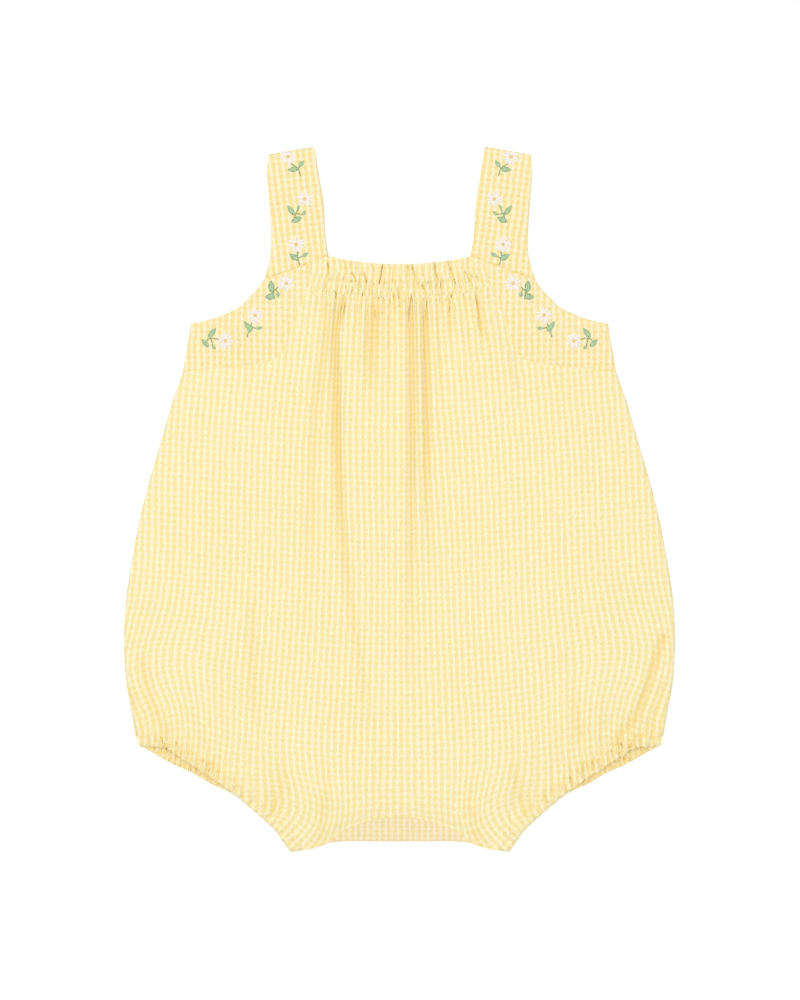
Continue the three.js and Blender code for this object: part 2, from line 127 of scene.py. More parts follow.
FRONT_CROTCH = (
    (55.9, -198.7), (47.7, -197.2), (41.0, -194.6), (35.5, -190.4), (28.0, -186.0), (15.0, -181.8),
    (0.0, -179.5),
)
BACK_CROTCH = (
    (55.3, -198.0), (47.7, -196.8), (41.0, -194.9), (30.8, -193.8), (15.0, -193.8), (0.0, -193.8),
)


@dataclass(frozen=True)
class Crease:
    """A fold valley in the cloth.

    Attributes:
        run: points of the valley's line, deepest first.
        depth: how deep it is where it starts, before VALLEY_SHARE softens it.
        width: half of its width.
        keep: share of the depth that is left at its far end.
        steep: 1 or -1 where the valley's right or left bank is the steep one.
        floor: 2 for a rounded valley, 4 for one with a flat bottom.
        hidden: share of cloth hidden in it, for each length upwards from its far end.
    """

    run: tuple[Point, ...]
    depth: float
    width: float
    keep: float = 0.3
    steep: int = 0
    floor: float = 2.0
    hidden: float = 0.0

    def place(self, x: float, y: float) -> tuple[float, float]:
        """Signed distance from the line, right positive, and share of the way along it."""
        nearest, side, along = 1e9, 1.0, 0.0
        steps = len(self.run) - 1
        for i in range(steps):
            (ax, ay), (bx, by) = self.run[i], self.run[i + 1]
            dx, dy = bx - ax, by - ay
            t = min(1.0, max(0.0, ((x - ax) * dx + (y - ay) * dy) / (dx * dx + dy * dy)))
            d = math.hypot(x - ax - dx * t, y - ay - dy * t)
            if d < nearest:
                nearest, side, along = d, dx * (y - ay) - dy * (x - ax), (i + t) / steps
        return math.copysign(nearest, side), along

    def cut(self, x: float, y: float) -> tuple[float, float]:
        """Height at a place, and how deep in the valley it lies, from 0 to 1."""
        distance, along = self.place(x, y)
        width = self.width * (1 - STEEPNESS * self.steep * math.copysign(1, distance))
        q = abs(distance) / width
        if q > 4:
            return 0.0, 0.0
        fade = self.keep + (1 - self.keep) * ease((1 - along) * 1.5)
        valley = math.exp(-(q**self.floor))
        depth = VALLEY_SHARE * self.depth * fade
        shore = SHORE_SHARE * math.exp(-((q - 2.0) ** 2))
        return depth * (shore - valley), valley * fade * min(1.0, self.depth / FULL_DEPTH)


FRONT_CREASES = (
    Crease(((-32, 113), (-35.4, 95), (-34.5, 39), (-32.9, -3), (-28, -51), (-18.4, -111)), 2.6, 2.3, 0.25, 1,
           2.0, 0.032),
    Crease(((-13.8, 114), (-15.8, 85), (-17.4, 44)), 1.9, 4.2, 0.0, 0, 4.0, 0.026),
    Crease(((6.6, 114), (7.2, 67), (6.4, -17), (5.9, -102)), 2.1, 2.6, 0.2, 0, 2.0, 0.034),
    Crease(((14.4, 114), (15.3, 67), (15.5, 5), (17.2, -40)), 2.7, 2.2, 0.15, 0, 2.0, 0.034),
    Crease(((28.5, 115), (28.5, 81)), 1.4, 2.2, 0.0, 0, 2.0, 0.022),
    Crease(((43.8, 116), (46.6, 96), (55.1, 79)), 1.4, 2.5, 0.1, 0, 2.0, 0.012),
    Crease(((-41.5, 112), (-43, 80), (-47.7, 50), (-50.6, -17), (-53.4, -68)), 1.0, 3.0, 0.3, 0, 2.0, 0.016),
    Crease(((-83.3, -60), (-83.3, -102), (-80.5, -128)), 0.8, 2.8, 0.6),
    Crease(((-55.4, 112), (-60.5, 101), (-64.8, 90), (-68.6, 77), (-70.5, 46)), 0.9, 1.7, 0.1),
    Crease(((149, -78), (141, -104), (134.5, -122), (122, -137)), 2.0, 2.2, 0.7),
    Crease(((150, -104), (143, -124), (138, -134)), 1.0, 1.8, 0.7),
    Crease(((-146, -92), (-141, -114), (-131, -135)), 1.1, 2.4, 0.7),
    Crease(((-152, -108), (-146, -128)), 0.9, 2.0, 0.7),
    Crease(((102, -136), (97.5, -100)), 0.8, 3.0, 0.0),
    Crease(((-22.5, 114), (-25, 92), (-26.5, 64)), 0.9, 1.6, 0.0, 0, 2.0, 0.012),
    Crease(((36, 116), (38.5, 96), (40, 64)), 0.7, 1.8, 0.0, 0, 2.0, 0.01),
    Crease(((22, 114), (23, 70), (25, 30)), 0.7, 1.8, 0.0, 0, 2.0, 0.01),
    Crease(((-5, 113), (-6, 84), (-7, 40)), 0.7, 1.8, 0.0, 0, 2.0, 0.012),
    Crease(((0.5, 114), (0.8, 92)), 0.9, 1.2, 0.0),
    Crease(((74, -186), (66, -160), (62, -128)), 1.0, 3.0, 0.0),
    Crease(((-74, -186), (-67, -163), (-66, -135)), 1.0, 3.0, 0.0),
    Crease(((45, -197), (40, -170), (44, -140)), 0.7, 3.4, 0.0),
    Crease(((-45, -197), (-42, -168), (-40, -130)), 0.7, 3.4, 0.0),
)
NECK_CREASES = (
    Crease(((-40.3, 133.6), (-40.1, 126.7)), 0.8, 0.35, 0.4),
    Crease(((-27.2, 134.4), (-27.8, 130.3)), 0.7, 0.55, 0.5),
    Crease(((-26.9, 128.0), (-24.6, 123.2)), 1, 0.38, 0.7),
    Crease(((-20.4, 128.6), (-18.7, 122.8)), 1, 0.35, 0.8),
    Crease(((-9.6, 132.8), (-10.2, 128.0), (-11.4, 121.6)), 1, 0.38, 1.0),
    Crease(((-3.4, 132.8), (-4.2, 122.6)), 0.65, 0.34, 0.5),
    Crease(((4.8, 132.8), (5.9, 119.6)), 0.7, 0.34, 0.5),
    Crease(((6.8, 132.8), (8.6, 126.0), (9.8, 122.0), (9.3, 117.0)), 1, 0.38, 0.4),
    Crease(((12.7, 121.4), (15.4, 114.6)), 0.9, 0.35, 0.6),
    Crease(((16.2, 122.6), (17.8, 118.4)), 0.6, 0.34, 0.4),
    Crease(((20.1, 133.4), (20.3, 128.9), (21.8, 123.2)), 1, 0.42, 0.8),
    Crease(((27.4, 134.2), (29.8, 126.7), (30.7, 123.4)), 0.8, 0.4, 0.7),
    Crease(((30.6, 123.4), (33.1, 118.6), (34.6, 115.6)), 0.6, 0.35, 0.3),
    Crease(((36.8, 128.6), (41.4, 119.0)), 0.75, 0.38, 0.5),
    Crease(((43.1, 126.7), (44.9, 122.6)), 0.5, 0.38, 0.5),
    Crease(((45.7, 123.7), (48.2, 118.5)), 0.5, 0.38, 0.3),
    Crease(((21.4, 123.0), (20.5, 117.6)), 0.65, 0.34, 0.5),
    Crease(((23.4, 122.6), (23.1, 117.8), (22.5, 107.0)), 0.9, 0.38, 0.3),
    Crease(((30.4, 118.6), (28.4, 112.3), (28.6, 104.5)), 0.9, 0.5, 0.2),
    Crease(((43.2, 115.4), (45.3, 102.3), (46.7, 91.0)), 0.6, 0.59, 0.1),
    Crease(((-41.1, 122.4), (-42.3, 114.8)), 0.6, 0.35, 0.4),
    Crease(((-35.8, 118.2), (-36.4, 111.2), (-37.0, 105.6)), 0.65, 0.42, 0.2),
    Crease(((-26.6, 118.4), (-30.6, 111.4)), 0.4, 0.38, 0.9),
    Crease(((-30.7, 111.2), (-32.0, 103.6), (-32.8, 96.0)), 0.9, 0.5, 0.3),
    Crease(((-31.6, 121.0), (-33.4, 116.0)), 0.5, 0.34, 0.3),
    Crease(((-15.8, 120.4), (-14.9, 114.6)), 0.6, 0.34, 0.3),
    Crease(((-9.0, 113.8), (-10.2, 103.8)), 0.55, 0.46, 0.2),
    Crease(((-8.0, 119.8), (-6.8, 112.8)), 0.65, 0.35, 0.3),
    Crease(((-3.5, 116.4), (-3.0, 110.0), (-2.2, 103.6)), 0.95, 0.5, 0.2),
    Crease(((2.3, 117.4), (3.5, 109.6)), 0.8, 0.38, 0.3),
    Crease(((7.0, 116.6), (5.4, 107.5), (5.2, 99.4), (6.0, 90.0)), 0.8, 0.42, 0.05),
    Crease(((15.2, 113.6), (15.4, 106.0), (16.0, 98.0)), 0.5, 0.42, 0.05),
    Crease(((-20.8, 116.4), (-21.6, 108.2)), 0.5, 0.42, 0.2),
    Crease(((37.2, 114.2), (39.0, 103.0)), 0.45, 0.46, 0.2),
)
HEM_CREASES = tuple(
    Crease(run, depth, HEM_CREASE_HALF, keep)
    for run, depth, keep in (
        (((146.4, -133.2), (146.5, -138.6)), 0.45, 0.5),
        (((143.0, -135.4), (143.2, -139.0)), 0.35, 0.5),
        (((138.2, -133.6), (137.2, -137.2)), 0.6, 0.6),
        (((134.9, -133.6), (133.9, -137.6), (133.4, -140.6)), 0.95, 1.0),
        (((132.6, -136.4), (131.9, -141.6)), 0.95, 1.0),
        (((126.0, -136.2), (127.0, -142.2), (125.6, -145.4)), 0.8, 1.0),
        (((123.7, -138.8), (124.0, -144.8)), 0.7, 0.8),
        (((121.4, -141.0), (121.2, -147.0)), 0.75, 0.8),
        (((118.6, -143.8), (119.2, -149.2)), 0.55, 0.9),
        (((114.6, -146.4), (115.2, -151.8)), 0.45, 0.9),
        (((111.1, -146.2), (110.6, -153.6)), 0.75, 0.9),
        (((107.8, -148.2), (107.6, -155.8)), 0.65, 0.9),
        (((105.3, -147.6), (104.7, -157.0)), 0.8, 0.9),
        (((102.6, -150.6), (102.0, -159.0)), 0.6, 0.9),
        (((98.8, -153.6), (98.2, -161.0)), 0.45, 0.9),
        (((94.2, -156.6), (93.6, -164.4)), 0.4, 0.9),
        (((89.6, -161.4), (89.0, -168.4)), 0.4, 0.9),
        (((83.4, -165.8), (82.8, -173.6)), 0.35, 0.9),
        (((77.0, -172.0), (76.2, -179.0)), 0.35, 0.9),
    )
)
BACK_CREASES = (
    Crease(((30, 112), (33, 60), (28, -10)), 0.75, 3.2, 0.0),
    Crease(((-12, 112), (-10, 58), (-14, 4)), 0.8, 2.8, 0.0),
    Crease(((-38, 112), (-42, 70), (-47, 18)), 0.6, 3.0, 0.0),
    Crease(((8, 112), (11, 74)), 0.7, 2.6, 0.0),
    Crease(((84, -178), (72, -140), (70, -100)), 0.6, 3.4, 0.0),
    Crease(((-92, -168), (-84, -138), (-86, -104)), 0.7, 3.4, 0.0),
    Crease(((-140, -128), (-118, -104)), 0.6, 3.2, 0.0),
    Crease(((138, -130), (124, -98)), 0.5, 3.2, 0.0),
)


def ease(t: float) -> float:
    """Smooth step from 0 to 1."""
    c = min(1.0, max(0.0, t))
    return c * c * (3 - 2 * c)


def mix(a: float, b: float, t: float) -> float:
    """The number at share t of the way from a to b."""
    return a + (b - a) * t


def mix_point(a: Point, b: Point, t: float) -> Point:
    """The point at share t of the way from a to b."""
    return mix(a[0], b[0], t), mix(a[1], b[1], t)


def rolled(distance: float, radius: float) -> float:
    """Drop of a rolled edge: 1 at the edge itself, 0 where the cloth lies flat."""
    return 1 - math.sqrt(max(0.0, 1 - (1 - min(1.0, distance / radius)) ** 2))


def bell(distance: float, width: float) -> float:
    """A soft bump: 1 in its middle, fading over its width."""
    return math.exp(-((distance / width) ** 2))


def off_ends(x: float) -> float:
    """Share of the neck's gathering at x: 1 but near the casing's ends."""
    return ease((49.5 - abs(x)) / 8)


def spread(count: int, low: float = 0.0, high: float = 1.0) -> list[float]:
    """Count equal steps from low to high, both ends included."""
    return [mix(low, high, i / count) for i in range(count + 1)]


def edged(values: Sequence[float], shares: Sequence[float] = (0.1, 0.25, 0.5)) -> list[float]:
    """The same steps with finer ones added inside both ends, for a rolled edge.

    Args:
        values: rising numbers.
        shares: places of the added ones in the first and last step.
    """
    first = [mix(values[0], values[1], s) for s in shares]
    last = [mix(values[-1], values[-2], s) for s in reversed(shares)]
    return [values[0], *first, *values[1:-1], *last, values[-1]]


class SmoothLine:
    """A smooth line through a table's points, asked for by its share of length."""

    def __init__(self, points: Sequence[Point], steps: int = 24) -> None:
        """Samples the line.

        Args:
            points: the table's points in order.
            steps: samples between two of them.
        """
        knots = [Vector(p) for p in points]
        knots = [2 * knots[0] - knots[1], *knots, 2 * knots[-1] - knots[-2]]
        self.samples: list[Vector] = []
        for i in range(1, len(knots) - 2):
            ends = [math.sqrt(max(1e-9, (knots[i + k] - knots[i + k - 1]).length)) for k in range(3)]
            for k in range(steps):
                self.samples.append(self._between(knots[i - 1 : i + 3], ends, k / steps))
        self.samples.append(knots[-2])
        self.lengths = [0.0]
        for a, b in zip(self.samples, self.samples[1:]):
            self.lengths.append(self.lengths[-1] + (b - a).length)

    @staticmethod
    def _between(p: Sequence[Vector], d: Sequence[float], t: float) -> Vector:
        """A point between the middle two of four knots, d being the root distances."""
        start = (p[1] - p[0]) / d[0] - (p[2] - p[0]) / (d[0] + d[1]) + (p[2] - p[1]) / d[1]
        end = (p[2] - p[1]) / d[1] - (p[3] - p[1]) / (d[1] + d[2]) + (p[3] - p[2]) / d[2]
        start, end = start * d[1], end * d[1]
        return (
            p[1] * (2 * t**3 - 3 * t**2 + 1)
            + start * (t**3 - 2 * t**2 + t)
            + p[2] * (3 * t**2 - 2 * t**3)
            + end * (t**3 - t**2)
        )

    def at(self, share: float) -> Point:
        """The point at a share of the whole length."""
        want = min(1.0, max(0.0, share)) * self.lengths[-1]
        i = min(len(self.samples) - 2, max(0, bisect_right(self.lengths, want) - 1))
        step = self.lengths[i + 1] - self.lengths[i]
        p = self.samples[i].lerp(self.samples[i + 1], (want - self.lengths[i]) / step if step else 0.0)
        return p.x, p.y

    @property
    def length(self) -> float:
        """Length of the whole line."""
        return self.lengths[-1]


def beside(points: Sequence[Point], distance: float) -> list[Point]:
    """Close points on a table's line moved sideways.

    Args:
        points: the table.
        distance: how far to the right of the line's direction.
    """
    line = SmoothLine(points)
    close = [line.at(t) for t in spread(80)]
    moved = []
    for i, p in enumerate(close):
        a, b = close[max(0, i - 1)], close[min(len(close) - 1, i + 1)]
        length = math.dist(a, b)
        moved.append((p[0] + (b[1] - a[1]) / length * distance, p[1] - (b[0] - a[0]) / length * distance))
    return moved


def neck_column(x: float, key: int) -> float:
    """The neck edge's height at x.

    Args:
        x: place across the neck.
        key: 1 for the heading's top, 2 for the stitched lower edge.
    """
    rows = NECK_EDGE
    at = min(abs(x), rows[-1][0])
    i = next(i for i in range(1, len(rows)) if rows[i][0] >= at)
    t = (at - rows[i - 1][0]) / (rows[i][0] - rows[i - 1][0])
    return mix(rows[i - 1][key], rows[i][key], t)


@dataclass(frozen=True)
class Gathers:
    """A run of gathers between edges.

    Attributes:
        edges: where one gather ends and the next begins.
        swells: height of each, used in turn.
        reaches: how far each runs on into the cloth.
        sharpness: 1 for rounded ridges, under 1 for narrow creases between broad ones.
    """

    edges: tuple[float, ...]
    swells: tuple[float, ...]
    reaches: tuple[float, ...] = (15.0,)
    sharpness: float = 0.8

    def rise(self, at: float, depth: float = 0.0) -> float:
        """Height at a place along the run, some way into the cloth."""
        if not self.edges[0] < at < self.edges[-1]:
            return 0.0
        k = bisect_right(self.edges, at) - 1
        phase = (at - self.edges[k]) / (self.edges[k + 1] - self.edges[k])
        fade = math.exp(-depth / self.reaches[k % len(self.reaches)])
        return self.swells[k % len(self.swells)] * fade * math.sin(math.pi * phase) ** self.sharpness

    def steps(self, count: int) -> list[float]:
        """Places with count steps in each gather, closer by its creases."""
        out = []
        for a, b in zip(self.edges, self.edges[1:]):
            out += [mix(a, b, mix(t, ease(t), 0.35)) for t in spread(count)[:-1]]
        return [*out, self.edges[-1]]

    def halved(self) -> tuple[float, ...]:
        """Edges of gathers half as broad."""
        finer: list[float] = []
        for i, (a, b) in enumerate(zip(self.edges, self.edges[1:])):
            finer += [a, mix(a, b, 0.46 + 0.08 * (i % 2))]
        return (*finer, self.edges[-1])


PLEATS = Gathers(PLEAT_EDGES, PLEAT_SWELL, sharpness=0.55)
NECK_GATHERS = Gathers(
    PLEATS.halved(), (1, 0.8, 1.1, 0.9, 0.75, 1.05, 0.95), (22, 12, 30, 16, 38, 14, 20, 10, 26), 0.7
)
LEG_GATHERS = Gathers(
    (*spread(4, LEG_SHARE, NECK_SHARE)[:-1], *spread(14, NECK_SHARE, 1)),
    (0.8, 1, 0.7, 0.9, 1, 0.75, 1.1, 0.85, 1.05, 0.7),
    (12, 20, 9, 16, 26, 11, 18),
)


def crumple(x: float, y: float, size: float, seed: float = 0.0) -> float:
    """Soft unevenness of a cloth surface, from -1 to 1."""
    return noise.noise(Vector((x / size, y / size, seed)))


def relief(creases: Iterable[Crease], x: float, y: float) -> tuple[float, float]:
    """Height of the fold valleys and of the soft ridges beside them, and how deep the place lies.

    Args:
        creases: the valleys.
        x: place across.
        y: place along.
    """
    height, deep = 0.0, 0.0
    for crease in creases:
        rise, depth = crease.cut(x, y)
        height += rise
        deep += depth
    return height, deep


def drawn_in(x: float, y: float, creases: Iterable[Crease] = NECK_CREASES, start: float = 0.45) -> float:
    """How far a place lies in one of the thin creases that elastic makes, from 0 to 1.

    Args:
        x: place across.
        y: place along.
        creases: the creases.
        start: how strongly each sets in, from 0 to 1.
    """
    nearest = 0.0
    for crease in creases:
        (first, top), (_, low) = crease.run[0], crease.run[-1]
        if abs(first - x) < 9 and low - 2 < y < top + 2:
            distance, along = crease.place(x, y)
            fade = crease.depth * (1 - (1 - crease.keep) * along) * ease(4 * along + start)
            nearest = max(nearest, fade * bell(distance, crease.width))
    return nearest


def drawn_by_hem(x: float, y: float) -> float:
    """How far a place lies in one of the leg hems' creases, which differ a little left and right."""
    shift = 0.0 if x < 0 else 1.4
    return drawn_in(abs(x) + shift, y - 0.6 * shift, HEM_CREASES, 0.1)


def channel_height(x: float, y: float) -> float:
    """Height of the gathers' underside by the neck's stitched edge, for casing and front alike."""
    gathers = 0.85 * NECK_GATHERS.rise(x) - 0.9 * drawn_in(x, y)
    return GATHER_REST + 0.15 + gathers * off_ends(x) + 0.15 * crumple(x, y, 5, 7.0)


@dataclass(frozen=True)
class Twist:
    """A place where the cloth is turned, so that its check is too."""

    x: float
    y: float
    radius: float
    angle: float

    def turn(self, p: Point) -> Point:
        """Turns a place about the middle of the twist, less with distance."""
        dx, dy = p[0] - self.x, p[1] - self.y
        angle = self.angle * math.exp(-(dx * dx + dy * dy) / self.radius**2)
        cos, sin = math.cos(angle), math.sin(angle)
        return self.x + dx * cos - dy * sin, self.y + dx * sin + dy * cos


@dataclass(frozen=True)
class Lie:
    """How the front's check lies: it fans out from the neck and is hidden in the folds.

    Attributes:
        fan: how far a stripe moves outward for each length down.
        half: distance from the middle over which the fan sets in.
        level: height where stripes are at their full spacing.
        twists: turned places at the crotch's and the hips' corners.
    """

    fan: float = 0.085
    half: float = 42.0
    level: float = -110.0
    twists: tuple[Twist, ...] = (
        Twist(-58, -192, 25, 0.75),
        Twist(58, -192, 25, -0.75),
        Twist(-144, -114, 34, -0.5),
        Twist(141, -110, 38, 0.46),
    )

    def at(self, x: float, y: float) -> Point:
        """The place on the cut that lies at x and y."""
        for twist in self.twists:
            x, y = twist.turn((x, y))
        spread_out = self.fan * math.tanh(x / self.half) * (y - self.level)
        folded = 0.0
        for crease in FRONT_CREASES:
            if crease.hidden:
                distance, _ = crease.place(x, y)
                low = max(self.level, crease.run[-1][1])
                share = 0.5 + 0.5 * math.tanh(distance / crease.width)
                start = 0.5 + 0.5 * math.tanh(-crease.run[0][0] / crease.width)
                folded += crease.hidden * max(0.0, y - low) * (share - start)
        lower = ease((30 - y) / 130)
        return x + mix(folded, spread_out, lower), y - 3.4 * math.log(math.cosh(x / self.half))


@dataclass(frozen=True)
class Spot:
    """A place on a piece of cloth.

    Attributes:
        x: across, in the garment's frame.
        y: along.
        z: up.
        along: the same, the other way.
        deep: painted shade for lying in a fold, a crease, a seam or under an edge, from 0 to 1.
        gather: how closely elastic draws the cloth together there, from 0 to 1.
    """

    x: float
    y: float
    z: float
    across: float
    along: float
    deep: float = 0.0
    gather: float = 0.0


class Facing(Enum):
    """Which way the shown face of a piece looks."""

    UP = 1
    DOWN = -1


def add_object(name: str, data: bpy.types.ID) -> bpy.types.Object:
    """Puts an object into the scene, at the origin."""
    made = bpy.data.objects.new(name, data)
    bpy.context.scene.collection.objects.link(made)
    return made


@dataclass
class Cloth:
    """A sheet of cloth that is laid from its own grid of spots.

    Attributes:
        name: the piece's name.
        nodes: the plain solids it stands for.
        slot: a material slot's name; not used.
        thickness: of the shown wall.
        facing: which face is shown.
    """

    name: str
    nodes: tuple[str, ...]
    slot: str
    thickness: float = SHOWN_CLOTH
    facing: Facing = Facing.UP

    def lay(self, spots: Sequence[Sequence[Spot]]) -> bpy.types.Object:
        """Makes the piece.

        Args:
            spots: rows of spots, all of one length.

        Returns:
            The object, with its fabric map and its wall.
        """
        rows, cols = len(spots), len(spots[0])
        bm = bmesh.new()
        bmesh.ops.create_grid(bm, x_segments=cols - 1, y_segments=rows - 1, size=1.0)
        cut: dict[int, Point] = {}
        # fold carries each point's painted shade to the material, gather where thin creases are drawn
        fold = bm.verts.layers.float.new("fold")
        gather = bm.verts.layers.float.new("gather")
        for v in bm.verts:
            c = round((v.co.x + 1) / 2 * (cols - 1))
            r = round((v.co.y + 1) / 2 * (rows - 1))
            spot = spots[r][c]
            v.co = Vector((spot.x, spot.y, spot.z)) * MM
            v[fold] = min(1.0, spot.deep)
            v[gather] = min(1.0, spot.gather)
            cut[v.index] = (spot.across * MM, spot.along * MM)
        fabric = bm.loops.layers.uv.new("fabric")
        for face in bm.faces:
            face.smooth = True
            for loop in face.loops:
                loop[fabric].uv = cut[loop.vert.index]
        for edge in bm.edges:
            edge.smooth = not edge.is_boundary
        bm.normal_update()
        mean = sum((f.normal * f.calc_area() for f in bm.faces), Vector())
        if mean.z * self.facing.value < 0:
            bmesh.ops.reverse_faces(bm, faces=bm.faces)
        mesh = bpy.data.meshes.new(self.name)
        bm.to_mesh(mesh)
        bm.free()
        piece = add_object(self.name, mesh)
        wall = piece.modifiers.new("wall", "SOLIDIFY")
        wall.thickness = self.thickness * MM
        wall.offset = -1
        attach(piece, "root")
        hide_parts(*self.nodes)
        LOG.info("%s: %d by %d", self.name, cols, rows)
        return piece


class Socket:
    """A number that varies over a surface, written as an expression."""

    def __init__(self, shade: "Shade", link: bpy.types.NodeSocket) -> None:
        """Keeps the socket and the material that it belongs to."""
        self.shade = shade
        self.link = link

    def _with(self, operation: str, *values: "Socket | float", first: bool = True) -> "Socket":
        """A Math node on this number and others."""
        order = [self, *values] if first else [*values, self]
        return self.shade.node("ShaderNodeMath", {"operation": operation}, dict(enumerate(order)))

    def __add__(self, other: "Socket | float") -> "Socket":
        """Sum."""
        return self._with("ADD", other)

    __radd__ = __add__

    def __mul__(self, other: "Socket | float") -> "Socket":
        """Product."""
        return self._with("MULTIPLY", other)

    __rmul__ = __mul__

    def __sub__(self, other: "Socket | float") -> "Socket":
        """Difference."""
        return self._with("SUBTRACT", other)

    def __rsub__(self, other: float) -> "Socket":
        """Difference from a number."""
        return self._with("SUBTRACT", other, first=False)

    def sine(self) -> "Socket":
        """Sine."""
        return self._with("SINE")

    def clipped(self) -> "Socket":
        """Kept between 0 and 1."""
        return self.shade.node("ShaderNodeClamp", {}, {"Value": self})


class Shade:
    """A node material that is put together by expressions."""

    def __init__(self, name: str) -> None:
        """Starts an empty material with its surface shader."""
        self.material = bpy.data.materials.new(name)
        self.material.use_nodes = True
        self.tree = self.material.node_tree
        self.tree.nodes.clear()
        self.surface = self.tree.nodes.new("ShaderNodeBsdfPrincipled")
        output = self.tree.nodes.new("ShaderNodeOutputMaterial")
        self.tree.links.new(self.surface.outputs["BSDF"], output.inputs["Surface"])

    def node(self, kind: str, settings: dict, values: dict, result: int | str = 0) -> Socket:
        """Adds a node.

        Args:
            kind: the node's type.
            settings: its own properties, set first.
            values: numbers, colours or sockets for its inputs.
            result: which output is wanted.

        Returns:
            The output as a socket.
        """
        made = self.tree.nodes.new(kind)
        for key, value in settings.items():
            if key == "stops":
                self._set_stops(made.color_ramp, value)
            else:
                setattr(made, key, value)
        for key, value in values.items():
            if isinstance(value, Socket):
                self.tree.links.new(value.link, made.inputs[key])
            else:
                made.inputs[key].default_value = value
        return Socket(self, made.outputs[result])

    @staticmethod
    def _set_stops(ramp: bpy.types.ColorRamp, stops: Sequence[tuple[float, tuple]]) -> None:
        """Sets a ramp's places and colours."""
        while len(ramp.elements) < len(stops):
            ramp.elements.new(1.0)
        for element, (place, colour) in zip(ramp.elements, stops):
            element.position = place
            element.color = (*colour, 1.0)

    def fabric(self) -> tuple[Socket, Socket, Socket]:
        """The place on the flat cut as a vector, then its two numbers."""
        place = self.node("ShaderNodeUVMap", {"uv_map": "fabric"}, {})
        parts = [self.node("ShaderNodeSeparateXYZ", {}, {"Vector": place}, axis) for axis in "XY"]
        return place, parts[0], parts[1]

    def attribute(self, name: str) -> Socket:
        """A number kept at the mesh's points."""
        return self.node("ShaderNodeAttribute", {"attribute_name": name}, {}, "Fac")

    def noise(self, place: Socket, scale: float, **more: float) -> Socket:
        """Flat unevenness of a size, with more of the node's inputs where given."""
        values = {"Vector": place, "Scale": scale, "Detail": 2.0, **more}
        return self.node("ShaderNodeTexNoise", {"noise_dimensions": "2D"}, values)

    def stretched(self, place: Socket, across: float, along: float) -> Socket:
        """The place shrunk, so that a pattern read from it is drawn out."""
        values = {"Vector": place, "Scale": (across, along, 1.0)}
        return self.node("ShaderNodeMapping", {"vector_type": "TEXTURE"}, values)

    def ramp(self, stops: Sequence[tuple[float, tuple]], value: Socket) -> Socket:
        """Colours along a number."""
        return self.node("ShaderNodeValToRGB", {"stops": stops}, {"Fac": value})

    def multiply(self, one: Socket, other: Socket) -> Socket:
        """Two colours multiplied."""
        settings = {"data_type": "RGBA", "blend_type": "MULTIPLY"}
        return self.node("ShaderNodeMix", settings, {0: 1.0, 6: one, 7: other}, 2)

    def feed(self, name: str, value: Socket) -> None:
        """Links a socket to the surface shader."""
        self.tree.links.new(value.link, self.surface.inputs[name])

    def fix(self, **numbers: float) -> None:
        """Sets numbers on the surface shader, with _ for spaces in their names."""
        for name, value in numbers.items():
            self.surface.inputs[name.replace("_", " ")].default_value = value


def linear(red: int, green: int, blue: int) -> tuple[float, float, float]:
    """A display colour as linear light."""
    parts = [c / 255 for c in (red, green, blue)]
    r, g, b = (c / 12.92 if c <= 0.04045 else ((c + 0.055) / 1.055) ** 2.4 for c in parts)
    return r, g, b


